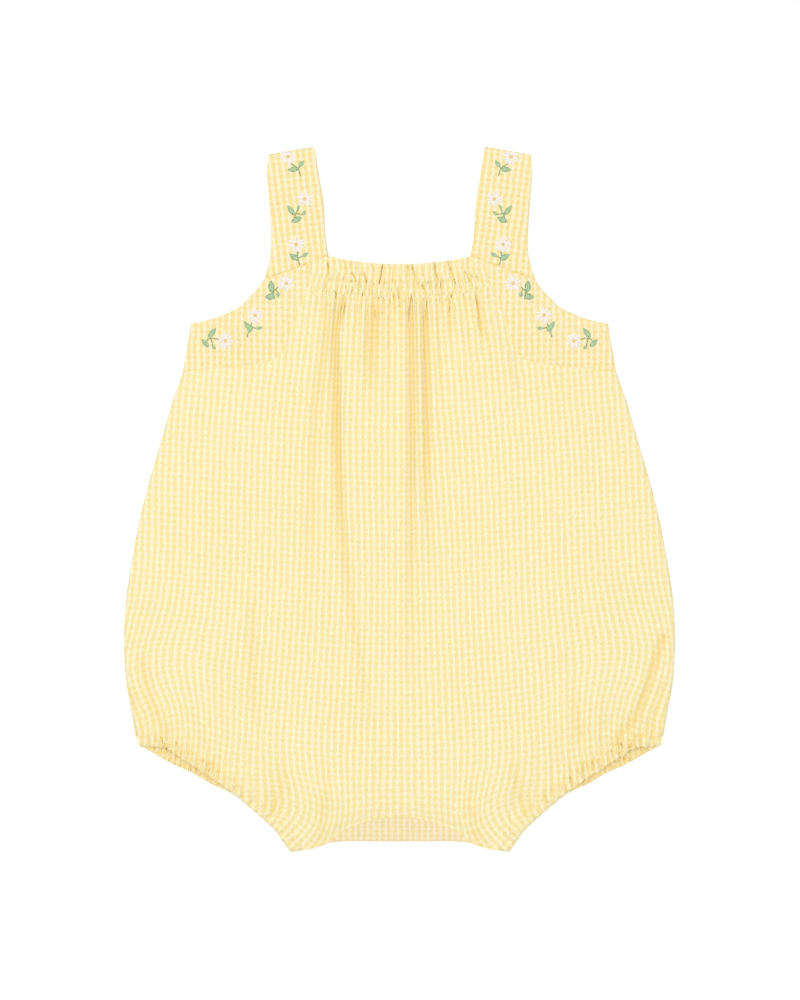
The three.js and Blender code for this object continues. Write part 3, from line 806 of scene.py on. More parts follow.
@dataclass(frozen=True)
class Gingham:
    """Yarn-dyed check with puckered stripes.

    Attributes:
        name: the material's name.
        pale: where two undyed yarns cross.
        full: where two dyed yarns cross.
        deep: painted shade in a fold, tinted as light thrown from cloth to cloth.
        deepest: painted shade in a tight crease, a dark brown line.
        check: from one stripe to the next.
        pucker: how high the crinkles stand.
    """

    name: str
    pale: tuple[int, int, int] = (250, 241, 208)
    full: tuple[int, int, int] = (245, 226, 160)
    deep: tuple[float, float, float] = (0.975, 0.84, 0.58)
    deepest: tuple[float, float, float] = (0.5, 0.37, 0.15)
    check: float = CHECK
    pucker: float = 0.3

    def dress(self, *pieces: bpy.types.Object) -> None:
        """Makes the material and gives it to the pieces."""
        shade = Shade(self.name)
        fabric, across, along = shade.fabric()
        turn = 2 * math.pi / (self.check * MM)
        broad, close = shade.noise(fabric, 90.0), shade.noise(fabric, 300.0)
        sway = (broad - 0.5) * 0.0011 + (close - 0.5) * 0.0009
        warp = (((across + sway) * turn).sine() * 1.6 + 0.5).clipped()
        weft = (((along + sway) * turn).sine() * 1.3 + 0.5).clipped()
        yarn = shade.noise(fabric, 820.0)
        blotch = shade.noise(fabric, 24.0)
        tint = (warp * 0.7 + weft * 0.3 + (yarn - 0.5) * 1.0 + (blotch - 0.5) * 0.25).clipped()
        stops = ((0.0, linear(*self.pale)), (1.0, linear(*self.full)))
        slub = shade.noise(shade.stretched(fabric, 1.0, 2.2), 1500.0)
        slubs = ((0.25, (0.905, 0.9, 0.85)), (0.75, (1.0, 1.0, 1.0)))
        worn = shade.multiply(shade.ramp(stops, tint), shade.ramp(slubs, slub))
        crinkle = self._crinkles(shade, fabric, across)
        # painted shade: the colour is multiplied towards deep in folds, seams and hem edges, and towards
        # deepest in thin creases
        painted_shade_stops = ((0.0, (1.0, 1.0, 1.0)), (0.6, self.deep), (1.0, self.deepest))
        # the crinkles' thin lines add their painted shade to the fold mask
        depth = (shade.attribute("fold") + crinkle * 0.82).clipped()
        shade.feed("Base Color", shade.multiply(worn, shade.ramp(painted_shade_stops, depth)))
        shade.feed("Normal", self._surface(shade, fabric, across, along, warp, crinkle))
        shade.fix(Roughness=0.9, Sheen_Weight=0.04, Sheen_Roughness=0.5, Specular_IOR_Level=0.15)
        for piece in pieces:
            piece.data.materials.append(shade.material)

    @staticmethod
    def _crinkles(shade: Shade, fabric: Socket, across: Socket) -> Socket:
        """Thin creases along the cloth, where elastic draws it together."""
        wander = shade.noise(shade.stretched(fabric, 1.0, 3.0), 260.0)
        patches = shade.noise(shade.stretched(fabric, 1.0, 2.5), 420.0)
        strength = ((patches - 0.4) * 5.0).clipped()
        line = ((across * (2 * math.pi / (CRINKLE * MM)) + wander * 16.0).sine() * 2.0 - 1.0).clipped()
        # the lines give painted shade in the colour and small dents in the bump
        return line * strength * shade.attribute("gather")

    def _surface(
        self, shade: Shade, fabric: Socket, across: Socket, along: Socket, warp: Socket, crinkle: Socket
    ) -> Socket:
        """Puckers of the slack stripes, the gathers' creases and the plain weave under them.

        Args:
            shade: the material.
            fabric: place on the cut as a vector.
            across: its first number.
            along: its second.
            warp: 1 on dyed stripes.
            crinkle: 1 in thin creases.
        """
        ripple = shade.noise(shade.stretched(fabric, 1.9, 1.0), 620.0, Roughness=0.45)
        yarns = 2 * math.pi / (YARN * MM)
        weave = (across * yarns).sine() * (along * yarns).sine()
        height = ripple * (0.35 + 0.65 * (1 - warp)) * self.pucker + weave * 0.02 - crinkle * 0.09
        return shade.node("ShaderNodeBump", {}, {"Strength": 0.9, "Distance": MM, "Height": height})


@dataclass(frozen=True)
class Thread:
    """Embroidery or sewing thread, laid in close satin stitches.

    Attributes:
        name: the material's name.
        dark: colour between the stitches, painted shade there, and the thread's darkest tone.
        light: colour on the stitches, a painted highlight there, and the thread's lightest tone.
        strand: from one stitch to the next.
        mottle: how much the thread's shade varies.
    """

    name: str
    dark: tuple[int, int, int]
    light: tuple[int, int, int]
    strand: float = 0.32
    mottle: float = 0.6

    def dress(self, *pieces: bpy.types.Object) -> None:
        """Makes the material and gives it to the pieces."""
        shade = Shade(self.name)
        fabric, along, _ = shade.fabric()
        lie = (along * (2 * math.pi / (self.strand * MM))).sine() * 0.5 + 0.5
        grain = shade.noise(fabric, 1050.0, Detail=1.0)
        stops = ((0.0, linear(*self.dark)), (0.6, linear(*self.light)))
        # the colour follows each stitch's rise: painted highlight on the stitches and painted shade between
        # them, under the thread's random mottle
        tone = (lie * 0.4 + 0.35 + (grain - 0.5) * 2 * self.mottle).clipped()
        shade.feed("Base Color", shade.ramp(stops, tone))
        relief_of_stitches = {"Strength": 0.7, "Distance": 0.1 * MM, "Height": lie}
        shade.feed("Normal", shade.node("ShaderNodeBump", {}, relief_of_stitches))
        shade.fix(Roughness=0.55, Sheen_Weight=0.2, Sheen_Roughness=0.4, Specular_IOR_Level=0.4)
        for piece in pieces:
            piece.data.materials.append(shade.material)


@dataclass
class Plan:
    """Plan of a gathered sheet: four edge lines and the cloth between them."""

    lower: Callable[[float], Point]
    upper: Callable[[float], Point]
    right: SmoothLine

    def at(self, u: float, v: float) -> Point:
        """The place at u, from -1 to 1 across, and v, from 0 at the legs to 1 at the neck."""
        low, high, side = self.lower(u), self.upper(u), self.right.at(v)
        start, end = self.right.at(0), self.right.at(1)
        x = mix(low[0], high[0], v) + u**3 * (side[0] - mix(start[0], end[0], v))
        y = mix(low[1], high[1], v) + u**2 * (side[1] - mix(start[1], end[1], v))
        return x, y


def two_part_line(
    middle: Sequence[Point], outer: Sequence[Point], share: float, power: float
) -> Callable[[float], Point]:
    """A mirrored edge line of two parts.

    Args:
        middle: from the garment's middle outwards.
        outer: from there to the side.
        share: where the second part begins.
        power: over 1 where the second part starts slowly.
    """
    inside, outside = SmoothLine(middle), SmoothLine(outer)

    def at(u: float) -> Point:
        """The place at u, from -1 to 1."""
        a = abs(u)
        x, y = inside.at(a / share) if a <= share else outside.at(((a - share) / (1 - share)) ** power)
        return math.copysign(1, u) * x, y

    return at


def leg_place(a: float) -> float:
    """Place along the leg's hem of a column of the body's cloth."""
    if a <= LEG_SHARE:
        return a
    return LEG_SHARE + (1 - LEG_SHARE) * ((a - LEG_SHARE) / (1 - LEG_SHARE)) ** LEG_POWER


@dataclass
class Bodice:
    """Front and back of the romper, each gathered at the neck and the legs."""

    puff: float = 2.45
    neck_gather: float = 1.2
    leg_gather: float = 1.5
    lie: Lie = field(default_factory=Lie)
    front: Plan = field(init=False)
    back: Plan = field(init=False)

    def __post_init__(self) -> None:
        """Works out both plans."""
        self.front = self._plan(0.0, FRONT_LEG, FRONT_CROTCH)
        self.back = self._plan(BACK_INSET, BACK_LEG, BACK_CROTCH)

    def _plan(self, inset: float, leg: Sequence[Point], crotch: Sequence[Point]) -> Plan:
        """The plan of one sheet.

        Args:
            inset: how far it is drawn in from the outline.
            leg: its leg edge.
            crotch: its crotch edge.
        """
        tuck = -inset if inset else TUCK
        neck = [(x, stitch + tuck) for x, _, stitch in NECK_EDGE]
        side = beside(SIDE, inset) if inset else [SmoothLine(SIDE).at(t) for t in spread(80)]
        under = beside(BAND_SEAM, 0.0 if inset else -TUCK)
        seam = [(x, y - inset) for x, y in under if y < neck[-1][1] - END_MARGIN]
        seam = seam if inset else [(51.5, neck[-1][1]), *seam]
        seam[-1] = side[0] = (side[0][0], seam[-1][1])
        legs = beside(leg, LEG_CASING - TUCK)
        legs = [p for p in legs if crotch[0][0] + END_MARGIN < p[0] < side[-1][0] - END_MARGIN]
        lower = two_part_line(crotch[::-1], [crotch[0], *legs[::-1], side[-1]], LEG_SHARE, LEG_POWER)
        upper = two_part_line(neck, [neck[-1], *seam], NECK_SHARE, 0.85)
        return Plan(lower, upper, SmoothLine(side[::-1], 2))

    def spot_on_front(self, u: float, v: float) -> Spot:
        """A place of the front's shown face."""
        x, y = self.front.at(u, v)
        a = abs(u)
        from_top = self.front.upper(u)[1] - y
        from_low = y - self.front.lower(u)[1]
        out = self.front.right.at(v)[0] - abs(x)
        inland = ease((1 - a) / SIDE_BLEND)
        by_neck = ease((NECK_SHARE + 0.05 - a) / 0.1)
        rest = EDGE_REST + (GATHER_REST - EDGE_REST) * inland * max(by_neck, 1 - ease(v * 1.4 - 0.4))
        swell = ease((1 - a) / 0.24) * ease((from_top + 4) / 46) * ease((from_low + 2) / 38)
        neck_rise = NECK_GATHERS.rise(u / NECK_SHARE * NECK_HALF, from_top)
        leg_rise = LEG_GATHERS.rise(leg_place(a), from_low)
        fold, deep = relief(FRONT_CREASES, x, y)
        fold *= ease((from_top + 2) / 18) * ease((from_low + 2) / 14)
        deep *= ease((from_top + 5) / 16)
        drawn = by_neck * drawn_in(x, y) if by_neck and from_top < 40 else 0.0
        if a > NECK_SHARE and from_low < 8:
            drawn = drawn_by_hem(x, y)
        lift = 0.7 * ease((60 - abs(x)) / 12) * ease((-150 - y) / 18)
        soft = 0.3 * crumple(x, y, 26) + 0.18 * crumple(x, y, 9, 3.0)
        slack = ease(out / 14) * ease(from_top / 8) * ease(from_low / 8)
        by_channel = by_neck * math.exp(-from_top / 11)
        by_hem = (0.25 + 0.75 * ease((a - 0.5) / 0.35)) * ease((a - LEG_SHARE) / 0.06)
        by_hem *= math.exp(-from_low / 8)
        height = rest + self.puff * swell + self.neck_gather * neck_rise + self.leg_gather * leg_rise
        height = max(rest + lift, height + fold + lift + soft * slack)
        height = min(HIGHEST_UNDERSIDE + 1.6, height) - 0.9 * drawn
        if by_neck:
            height = mix(height, channel_height(x, y), by_neck * bell(from_top, 3))
        seam = 0.6 * (1 - ease(from_top / 0.45))
        if a > LEG_SHARE:
            seam += 0.4 * (1 - ease(from_low / 0.45))
        else:
            seam += lift * (1.75 * (1 - ease(from_low / 9)) + 0.15 * (1 - ease(from_low / 0.6)))
        roll = rolled(out, 3.0)
        # painted shade: a line along the front's hem edge at the crotch, the fold valleys, the thin creases
        # and the hollows between the leg's gathers
        arch_shade = 0.0 if a > LEG_SHARE else 0.22 * lift * (1 - ease(from_low / 0.9))
        shade = 0.6 * deep + arch_shade + drawn + 0.25 * by_hem * (1 - min(1.0, LEG_GATHERS.rise(leg_place(a))))
        top = mix(height + FRONT_CLOTH - seam, ROLLED_TOP, roll)
        return Spot(x, y, top, *self.lie.at(x, y), shade, by_channel + 0.7 * by_hem)

    def make_front(self) -> bpy.types.Object:
        """Lays the front."""
        neck = [x / NECK_HALF * NECK_SHARE for x in NECK_GATHERS.steps(10)]
        outer = edged(spread(86, NECK_SHARE, 1))[1:]
        columns = [-u for u in reversed(outer)] + neck + outer
        rows = [*spread(26, 0, 0.17), *spread(48, 0.17, 0.86)[1:], *spread(38, 0.86, 1)[1:]]
        spots = [[self.spot_on_front(u, v) for u in columns] for v in edged(rows, (0.3, 0.6))]
        piece = Cloth("gathered_front", ("front_panel",), "cloth").lay(spots)
        return piece

    def make_back(self) -> bpy.types.Object:
        """Lays the back, its outer face on the floor."""
        middle = spread(40, -NECK_SHARE, NECK_SHARE)[1:-1]
        columns = edged([*spread(30, -1, -NECK_SHARE), *middle, *spread(30, NECK_SHARE, 1)])
        spots = []
        for v in edged(spread(90)):
            row = []
            for u in columns:
                x, y = self.back.at(u, v)
                from_top = self.back.upper(u)[1] - y
                from_low = y - self.back.lower(u)[1]
                out = self.back.right.at(v)[0] - abs(x)
                fold, deep = relief(BACK_CREASES, x, y)
                fold *= -ease(from_low / 10) * ease((from_top + 4) / 8)
                seam = 0.3 * bell(from_top, 0.9) + 0.3 * bell(from_low, 0.9)
                roll = 0.08 * rolled(out, 2.0)
                z = min(0.42, max(0.0, fold + seam) * 0.5 + roll)
                # painted shade in the back's fold valleys
                row.append(Spot(x, y, z, *self.lie.at(-x, y), deep * 0.6))
            spots.append(row)
        piece = Cloth("back_lying_flat", ("back_panel",), "cloth", 0.8, Facing.DOWN).lay(spots)
        return piece


@dataclass
class NeckCasing:
    """The neck's casing: a channel of fine gathers under a ruffled heading."""

    broad: float = 1.3
    groove: float = 1.3
    tuck: float = 0.9

    def spot(self, x: float, w: float) -> Spot:
        """A place of the front casing, w being 0 at its stitched edge and 1 at the heading's top."""
        heading = ease((w - CHANNEL_SHARE) / 0.3)
        middle = off_ends(x)
        end = ease((abs(x) - 48.6) / 1.2)
        y = mix(neck_column(x, 2), neck_column(x, 1), w) - 1.2 * end * (1 - w) ** 2
        drawn = drawn_in(x, y) * middle
        top = y - 0.45 * drawn * ease((w - 0.8) / 0.2)
        pleats = GATHER_REST + 0.3 + self.broad * PLEATS.rise(x) * middle - self.groove * drawn
        low = mix(channel_height(x, y), pleats, heading) + 0.12 * crumple(x, y, 4, 7.0)
        low -= 0.22 * bell(w - CHANNEL_SHARE, STITCH_HALF) + 0.2 * bell(w, 0.025)
        low -= 0.3 * ease((abs(x) - 44) / 6) + 0.6 * end
        meeting = mix(51.2, 50.0, ease((y - 120) / 12)) + self.tuck - NECK_HALF
        place = math.copysign(abs(x) + meeting * (abs(x) / NECK_HALF) ** 6, x)
        fan = 0.2 * math.tanh(x / 18) * max(0.0, 129 - y)
        cut = (1.15 * (x - fan + 0.7 * crumple(x, y, 6, 21.0)), y + 0.5 * crumple(x, y, 7, 23.0))
        gather = middle * mix(0.9, 0.55, heading)
        # painted shade along the channel's stitched line, added to the painted shade of the thin creases
        sewn = 0.16 * middle * bell(w - CHANNEL_SHARE, STITCH_HALF)
        return Spot(place, top, max(1.2, low) + FRONT_CLOTH, *cut, drawn + sewn, gather)

    def make_front(self) -> bpy.types.Object:
        """Lays the front casing."""
        spots = [[self.spot(x, w) for x in NECK_GATHERS.steps(20)] for w in edged(spread(40))]
        piece = Cloth("neck_casing_ruffled", ("neck_casing_front",), "cloth", 0.9).lay(spots)
        return piece

    def make_back(self) -> bpy.types.Object:
        """Lays the back casing, flat side down."""
        spots = []
        for w in edged(spread(16)):
            row = []
            for x in NECK_GATHERS.steps(6):
                drop = 2.5 * ease((NECK_HALF - abs(x)) / 12)
                stitch = bell(w - CHANNEL_SHARE, STITCH_HALF) + bell(w, 0.06)
                hollow = 1 - min(1.0, NECK_GATHERS.rise(x))
                y = mix(neck_column(x, 2), neck_column(x, 1) - drop, w) - BACK_INSET
                # painted shade in the hollows between the gathers
                row.append(Spot(x * 0.995, y, 0.42 * hollow + 0.12 * stitch, x * 1.15, y, 0.5 * hollow))
            spots.append(row)
        piece = Cloth("neck_casing_behind", ("neck_casing_back",), "cloth", 0.9, Facing.DOWN).lay(spots)
        return piece


@dataclass
class Sided:
    """A piece that is made for either side.

    Attributes:
        hand: 1 on the right as the front is seen, -1 on the left.
    """

    hand: int

    @property
    def word(self) -> str:
        """The side's name."""
        return "right" if self.hand > 0 else "left"


@dataclass
class ArmholeBand(Sided):
    """A shaped band from the strap's seam round to the side seam."""

    def make(self, facing: Facing) -> bpy.types.Object:
        """Lays the front band or the one behind it."""
        back = facing is Facing.DOWN
        inset = BACK_INSET if back else 0.0
        inner, outer = SmoothLine(BAND_SEAM), SmoothLine(beside(ARMHOLE, inset) if back else ARMHOLE)
        spots = []
        for a in edged(spread(22), (0.15, 0.35, 0.6)):
            row = []
            for t in edged(spread(84), (0.2, 0.5)):
                x, y = mix_point(inner.at(t), outer.at(t), a)
                width = math.dist(inner.at(t), outer.at(t))
                z = self._height(back, a * width, (1 - a) * width, t, x, y)
                # painted shade along the seam to the body, stronger towards the strap
                line = 0.0 if back else mix(0.4, 0.14, ease((t - 0.35) / 0.2))
                line *= bell(a * width, SEAM_HALF)
                row.append(Spot(self.hand * x, y - inset, z, self.hand * x * 1.02, y - 0.03 * x, line))
            spots.append(row)
        place = "back" if back else "front"
        cloth = Cloth(
            f"armhole_band_{place}_{self.word}_sewn",
            (f"armhole_band_{place}_{self.word}",),
            "cloth" if back else "embroidered_cloth",
            0.9 if back else 1.2,
            facing,
        )
        piece = cloth.lay(spots)
        return piece

    def _height(self, back: bool, from_seam: float, from_edge: float, t: float, x: float, y: float) -> float:
        """Height of the shown face.

        Args:
            back: whether it is the band behind.
            from_seam: distance from the seam to the body.
            from_edge: distance from the armhole's edge.
            t: share of the way from the strap to the side.
            x: place across.
            y: place along.
        """
        seam = 0.35 * bell(from_seam, SEAM_HALF) + 0.5 * bell(t * 42, SEAM_HALF)
        edge = rolled(from_edge, 1.2)
        side = rolled((1 - t) * 60, 1.5)
        if back:
            return 0.3 * min(1.0, seam) + 0.08 * max(edge, side)
        pucker = 0.16 * crumple(x, y, 7, 5.0 + self.hand) + 0.1 * crumple(x, y, 3.4, 9.0)
        ridge = 0.18 * bell(from_seam - 2.2, 1.4)
        top = EDGE_REST + BAND_CLOTH + 0.25 * math.sin(math.pi * min(1, from_edge / 20)) + pucker + ridge
        return top - 0.5 * min(1.0, seam) - 0.75 * max(edge, side)


@dataclass
class Strap(Sided):
    """A shoulder strap: one strip, folded over at the shoulder."""

    fold_inside: float = 0.6

    def make(self) -> bpy.types.Object:
        """Lays the strip up the front, over the fold and down behind."""
        radius = self.fold_inside + STRAP_CLOTH
        (ix, iy), (ox, oy) = STRAP_INNER[-1], STRAP_OUTER[-1]
        length = math.dist((ix, iy), (ox, oy))
        up = ((iy - oy) / length, (ox - ix) / length)
        inner = SmoothLine([*STRAP_INNER[:-1], (ix - radius * up[0], iy - radius * up[1])])
        outer = SmoothLine([*STRAP_OUTER[:-1], (ox - radius * up[0], oy - radius * up[1])])
        across = edged(spread(24))
        (bx, by), (tx, ty) = inner.at(0), inner.at(1)
        run = math.dist((bx, by), (tx, ty))
        way = ((tx - bx) / run, (ty - by) / run)

        def on_cut(x: float, y: float) -> Point:
            """The place on the flat strip that lies at x and y."""
            return self.hand * ((x - bx) * way[1] - (y - by) * way[0]), (x - bx) * way[0] + (y - by) * way[1]

        def roll_of(a: float) -> float:
            """Drop towards the strip's long edges."""
            return rolled(STRAP_WIDTH * min(a, 1 - a), 1.1)

        spots = []
        for t in edged(spread(60)):
            rise = mix(EDGE_REST + 0.2, 2 * self.fold_inside + STRAP_CLOTH, ease(t * 1.6 - 0.6))
            row = []
            for a in across:
                x, y = mix_point(inner.at(t), outer.at(t), a)
                seam = bell(t * run, 0.8)
                soft = 0.25 * crumple(x, y, 8, 11.0 + self.hand) + 0.12 * crumple(x, y, 3.5, 13.0)
                soft *= 1 - t**4
                z = rise + STRAP_CLOTH + 0.2 * (1 - (2 * a - 1) ** 2) * (1 - t) + soft
                z -= 0.4 * seam + 0.6 * roll_of(a) * (1 - t**6)
                # painted shade along the seam at the strap's foot
                row.append(Spot(self.hand * x, y, z, *on_cut(x, y), 0.5 * seam))
            spots.append(row)
        for angle in spread(12, math.pi / 2, -math.pi / 2)[1:-1]:
            row = []
            for a in across:
                drawn = mix(a, mix(a, 0.5, STRAP_NARROWING), 0.5 - angle / math.pi)
                x, y = mix_point(inner.at(1), outer.at(1), drawn)
                out = radius * math.cos(angle)
                cut = on_cut(x, y)
                place = (self.hand * (x + out * up[0]), y + out * up[1], radius + radius * math.sin(angle))
                row.append(Spot(*place, cut[0], cut[1] + radius * (math.pi / 2 - angle)))
            spots.append(row)
        for t in reversed(edged(spread(40))):
            row = []
            for a in across:
                x, y = mix_point(inner.at(t), outer.at(t), mix(a, 0.5, STRAP_NARROWING))
                cut = on_cut(x, y)
                behind = 2 * run + math.pi * radius - cut[1]
                row.append(Spot(self.hand * x, y, 0.08 * roll_of(a) * (1 - t**6), cut[0], behind))
            spots.append(row)
        cloth = Cloth(f"strap_{self.word}_folded", (f"strap_{self.word}",), "embroidered_cloth", 1.0)
        piece = cloth.lay(spots)
        return piece


@dataclass
class LegCasing(Sided):
    """An elastic hem round half a leg opening."""

    gather: float = 1.5
    lie: Lie = field(default_factory=Lie)

    def make(self, facing: Facing) -> bpy.types.Object:
        """Lays the front's hem or the one behind it."""
        back = facing is Facing.DOWN
        edge = BACK_LEG if back else FRONT_LEG
        hip = SIDE[-1]
        end = (56.2, -198.4 if back else -198.8)
        close = beside(edge, LEG_CASING)
        close = [p for p in close if end[0] + END_MARGIN < p[0] < hip[0] - END_MARGIN]
        inner = SmoothLine([end, *close[::-1], (hip[0] - 0.05, hip[1])], 4)
        outer = SmoothLine(edge[::-1])
        along = edged([*spread(34, LEG_SHARE, NECK_SHARE), *spread(150 if back else 330, NECK_SHARE, 1)[1:]])
        spots = []
        for a in edged(spread(12), (0.2, 0.5)):
            row = []
            for u in along:
                t = (u - LEG_SHARE) / (1 - LEG_SHARE)
                x, y = mix_point(inner.at(t), outer.at(t), a)
                rise = LEG_GATHERS.rise(u)
                flat = ease((1 - t) / 0.06)
                strong = (0.35 + 0.65 * ease((t - 0.2) / 0.5)) * flat
                seam = 1 - ease((a * LEG_CASING - 0.2) / 0.5)
                roll = rolled((1 - a) * LEG_CASING, 1.4)
                open_part = ease((x - 95) / 8) * flat
                # painted shade along the front hem's outer edge, where the back's strip shows below it
                hem_edge_shade = open_part * ease(1.0 - (1 - a) * LEG_CASING) * (0.75 + 0.9 * crumple(x, y, 3, 31.0))
                if back:
                    z = 0.35 * (1 - min(1.0, rise)) * flat + 0.1 * seam + 0.08 * roll
                    # painted shade on the back's strip where it shows under the front hem
                    deep = 0.28 * open_part
                else:
                    rest = EDGE_REST + (GATHER_REST - EDGE_REST) * ease((1 - u) / SIDE_BLEND)
                    z = rest + self.gather * rise * flat + FRONT_CLOTH + 0.35 * math.sin(math.pi * a)
                    drawn = drawn_by_hem(self.hand * x, y)
                    y += open_part * a**3 * (1.3 * crumple(u * HEM_RUN, 0.0, 4.5, 41.0) + 0.6 * drawn)
                    z += 0.35 * strong * crumple(u * HEM_RUN, a * 1.2, 4, 37.0)
                    z -= 0.1 * seam + mix(1.0, 0.45, open_part) * roll + 0.5 * drawn
                    # painted shade in the hollows between gathers, along the hem's edge and in its creases
                    deep = 0.2 * strong * (1 - min(1.0, rise)) + 0.6 * hem_edge_shade + 0.55 * drawn
                row.append(Spot(self.hand * x, y, z, *self.lie.at(self.hand * x, y), deep, 0.7 * strong))
            spots.append(row)
        place = "back" if back else "front"
        cloth = Cloth(
            f"leg_casing_{place}_{self.word}_elastic",
            (f"leg_casing_{place}_{self.word}",),
            "cloth",
            0.9 if back else 1.0,
            facing,
        )
        piece = cloth.lay(spots)
        return piece


@dataclass
class Placket:
    """The band on the inside of the back's crotch edge."""

    half: float = 40.0
    top: float = -175.5

    def make(self) -> bpy.types.Object:
        """Lays the band between the back and the front."""
        edge = SmoothLine(BACK_CROTCH[::-1])
        bottoms = sorted(edge.at(t) for t in spread(200))
        spots = []
        for w in edged(spread(16)):
            row = []
            for x in edged(spread(80, -self.half, self.half)):
                i = min(len(bottoms) - 1, bisect_right([b[0] for b in bottoms], abs(x)))
                y = mix(self.top, bottoms[i][1] + 0.2, w)
                hem = rolled((1 - w) * PLACKET_WIDTH, 0.9)
                z = PLACKET_TOP + 0.08 * crumple(x, y, 5, 2.0) - 0.4 * hem
                row.append(Spot(x, y, z, x * 1.05, y * 1.45))
            spots.append(row)
        piece = Cloth("crotch_placket_band", ("crotch_placket",), "cloth", 0.85).lay(spots)
        return piece


class Surface:
    """The cloth as seen from above, for setting thread down on it."""

    def __init__(self, pieces: Iterable[bpy.types.Object]) -> None:
        """Gathers the pieces' faces into one tree."""
        points: list[Vector] = []
        faces: list[tuple[int, ...]] = []
        for piece in pieces:
            start = len(points)
            points += [v.co.copy() for v in piece.data.vertices]
            faces += [tuple(start + i for i in polygon.vertices) for polygon in piece.data.polygons]
        self.tree = BVHTree.FromPolygons(points, faces)

    def height(self, x: float, y: float) -> float:
        """Height of the cloth at a place, in millimetres."""
        hit = self.tree.ray_cast(Vector((x * MM, y * MM, RAY_START)), Vector((0, 0, -1)))
        return hit[0].z / MM if hit[0] else USUAL_HEIGHT


@dataclass
class ThreadWork:
    """Many small pads of thread joined into one mesh."""

    name: str
    surface: Surface
    bm: bmesh.types.BMesh = field(default_factory=bmesh.new)

    def pad(
        self, centre: Point, turn: float, length: float, width: float, height: float, taper: float = 0.0
    ) -> None:
        """Adds a pad of satin stitches.

        Args:
            centre: its place.
            turn: direction of its length, in radians.
            length: from end to end.
            width: across.
            height: how far it stands out of the cloth.
            taper: over 0 where it narrows to its far end, under 0 to its near end.
        """
        fabric = self.bm.loops.layers.uv.verify()
        made = bmesh.ops.create_uvsphere(self.bm, u_segments=10, v_segments=6, radius=0.5)["verts"]
        cos, sin = math.cos(turn), math.sin(turn)
        flat: dict[int, Point] = {}
        for v in made:
            s = v.co.z
            narrow = 1 - 1.5 * max(0.0, s * taper)
            along, across, up = s * length, v.co.x * width * narrow, v.co.y * height * 2
            x = centre[0] + along * cos - across * sin
            y = centre[1] + along * sin + across * cos
            z = self.surface.height(x, y) + up
            v.co = Vector((x, y, z)) * MM
            flat[id(v)] = (along * MM, across * MM)
        for face in {f for v in made for f in v.link_faces}:
            face.smooth = True
            for loop in face.loops:
                loop[fabric].uv = flat[id(loop.vert)]

    def stitch(self, start: Point, end: Point, length: float, width: float, height: float) -> None:
        """Adds a pad half-way between two places, turned from one to the other."""
        middle = ((start[0] + end[0]) / 2, (start[1] + end[1]) / 2)
        turn = math.atan2(end[1] - start[1], end[0] - start[0])
        self.pad(middle, turn, length, width, height)

    def finish(self) -> bpy.types.Object:
        """Turns the pads into one object."""
        bmesh.ops.recalc_face_normals(self.bm, faces=self.bm.faces)
        mesh = bpy.data.meshes.new(self.name)
        self.bm.to_mesh(mesh)
        self.bm.free()
        mesh.uv_layers[0].name = "fabric"
        piece = add_object(self.name, mesh)
        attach(piece, "root")
        LOG.info("%s: %d faces", self.name, len(mesh.polygons))
        return piece


@dataclass(frozen=True)
class Leaf:
    """A leaf or bud of satin stitch, placed from its flower's middle."""

    x: float
    y: float
    degrees: float
    length: float
    width: float


@dataclass(frozen=True)
class Sprig:
    """A daisy with leaves, on the left side; the right side mirrors it.

    Attributes:
        centre: middle of the flower.
        turn: how far the petals are turned, in degrees.
        leaves: its leaves and buds.
        stems: runs of points from the flower's middle.
    """

    centre: Point
    turn: float
    leaves: tuple[Leaf, ...]
    stems: tuple[tuple[Point, ...], ...]


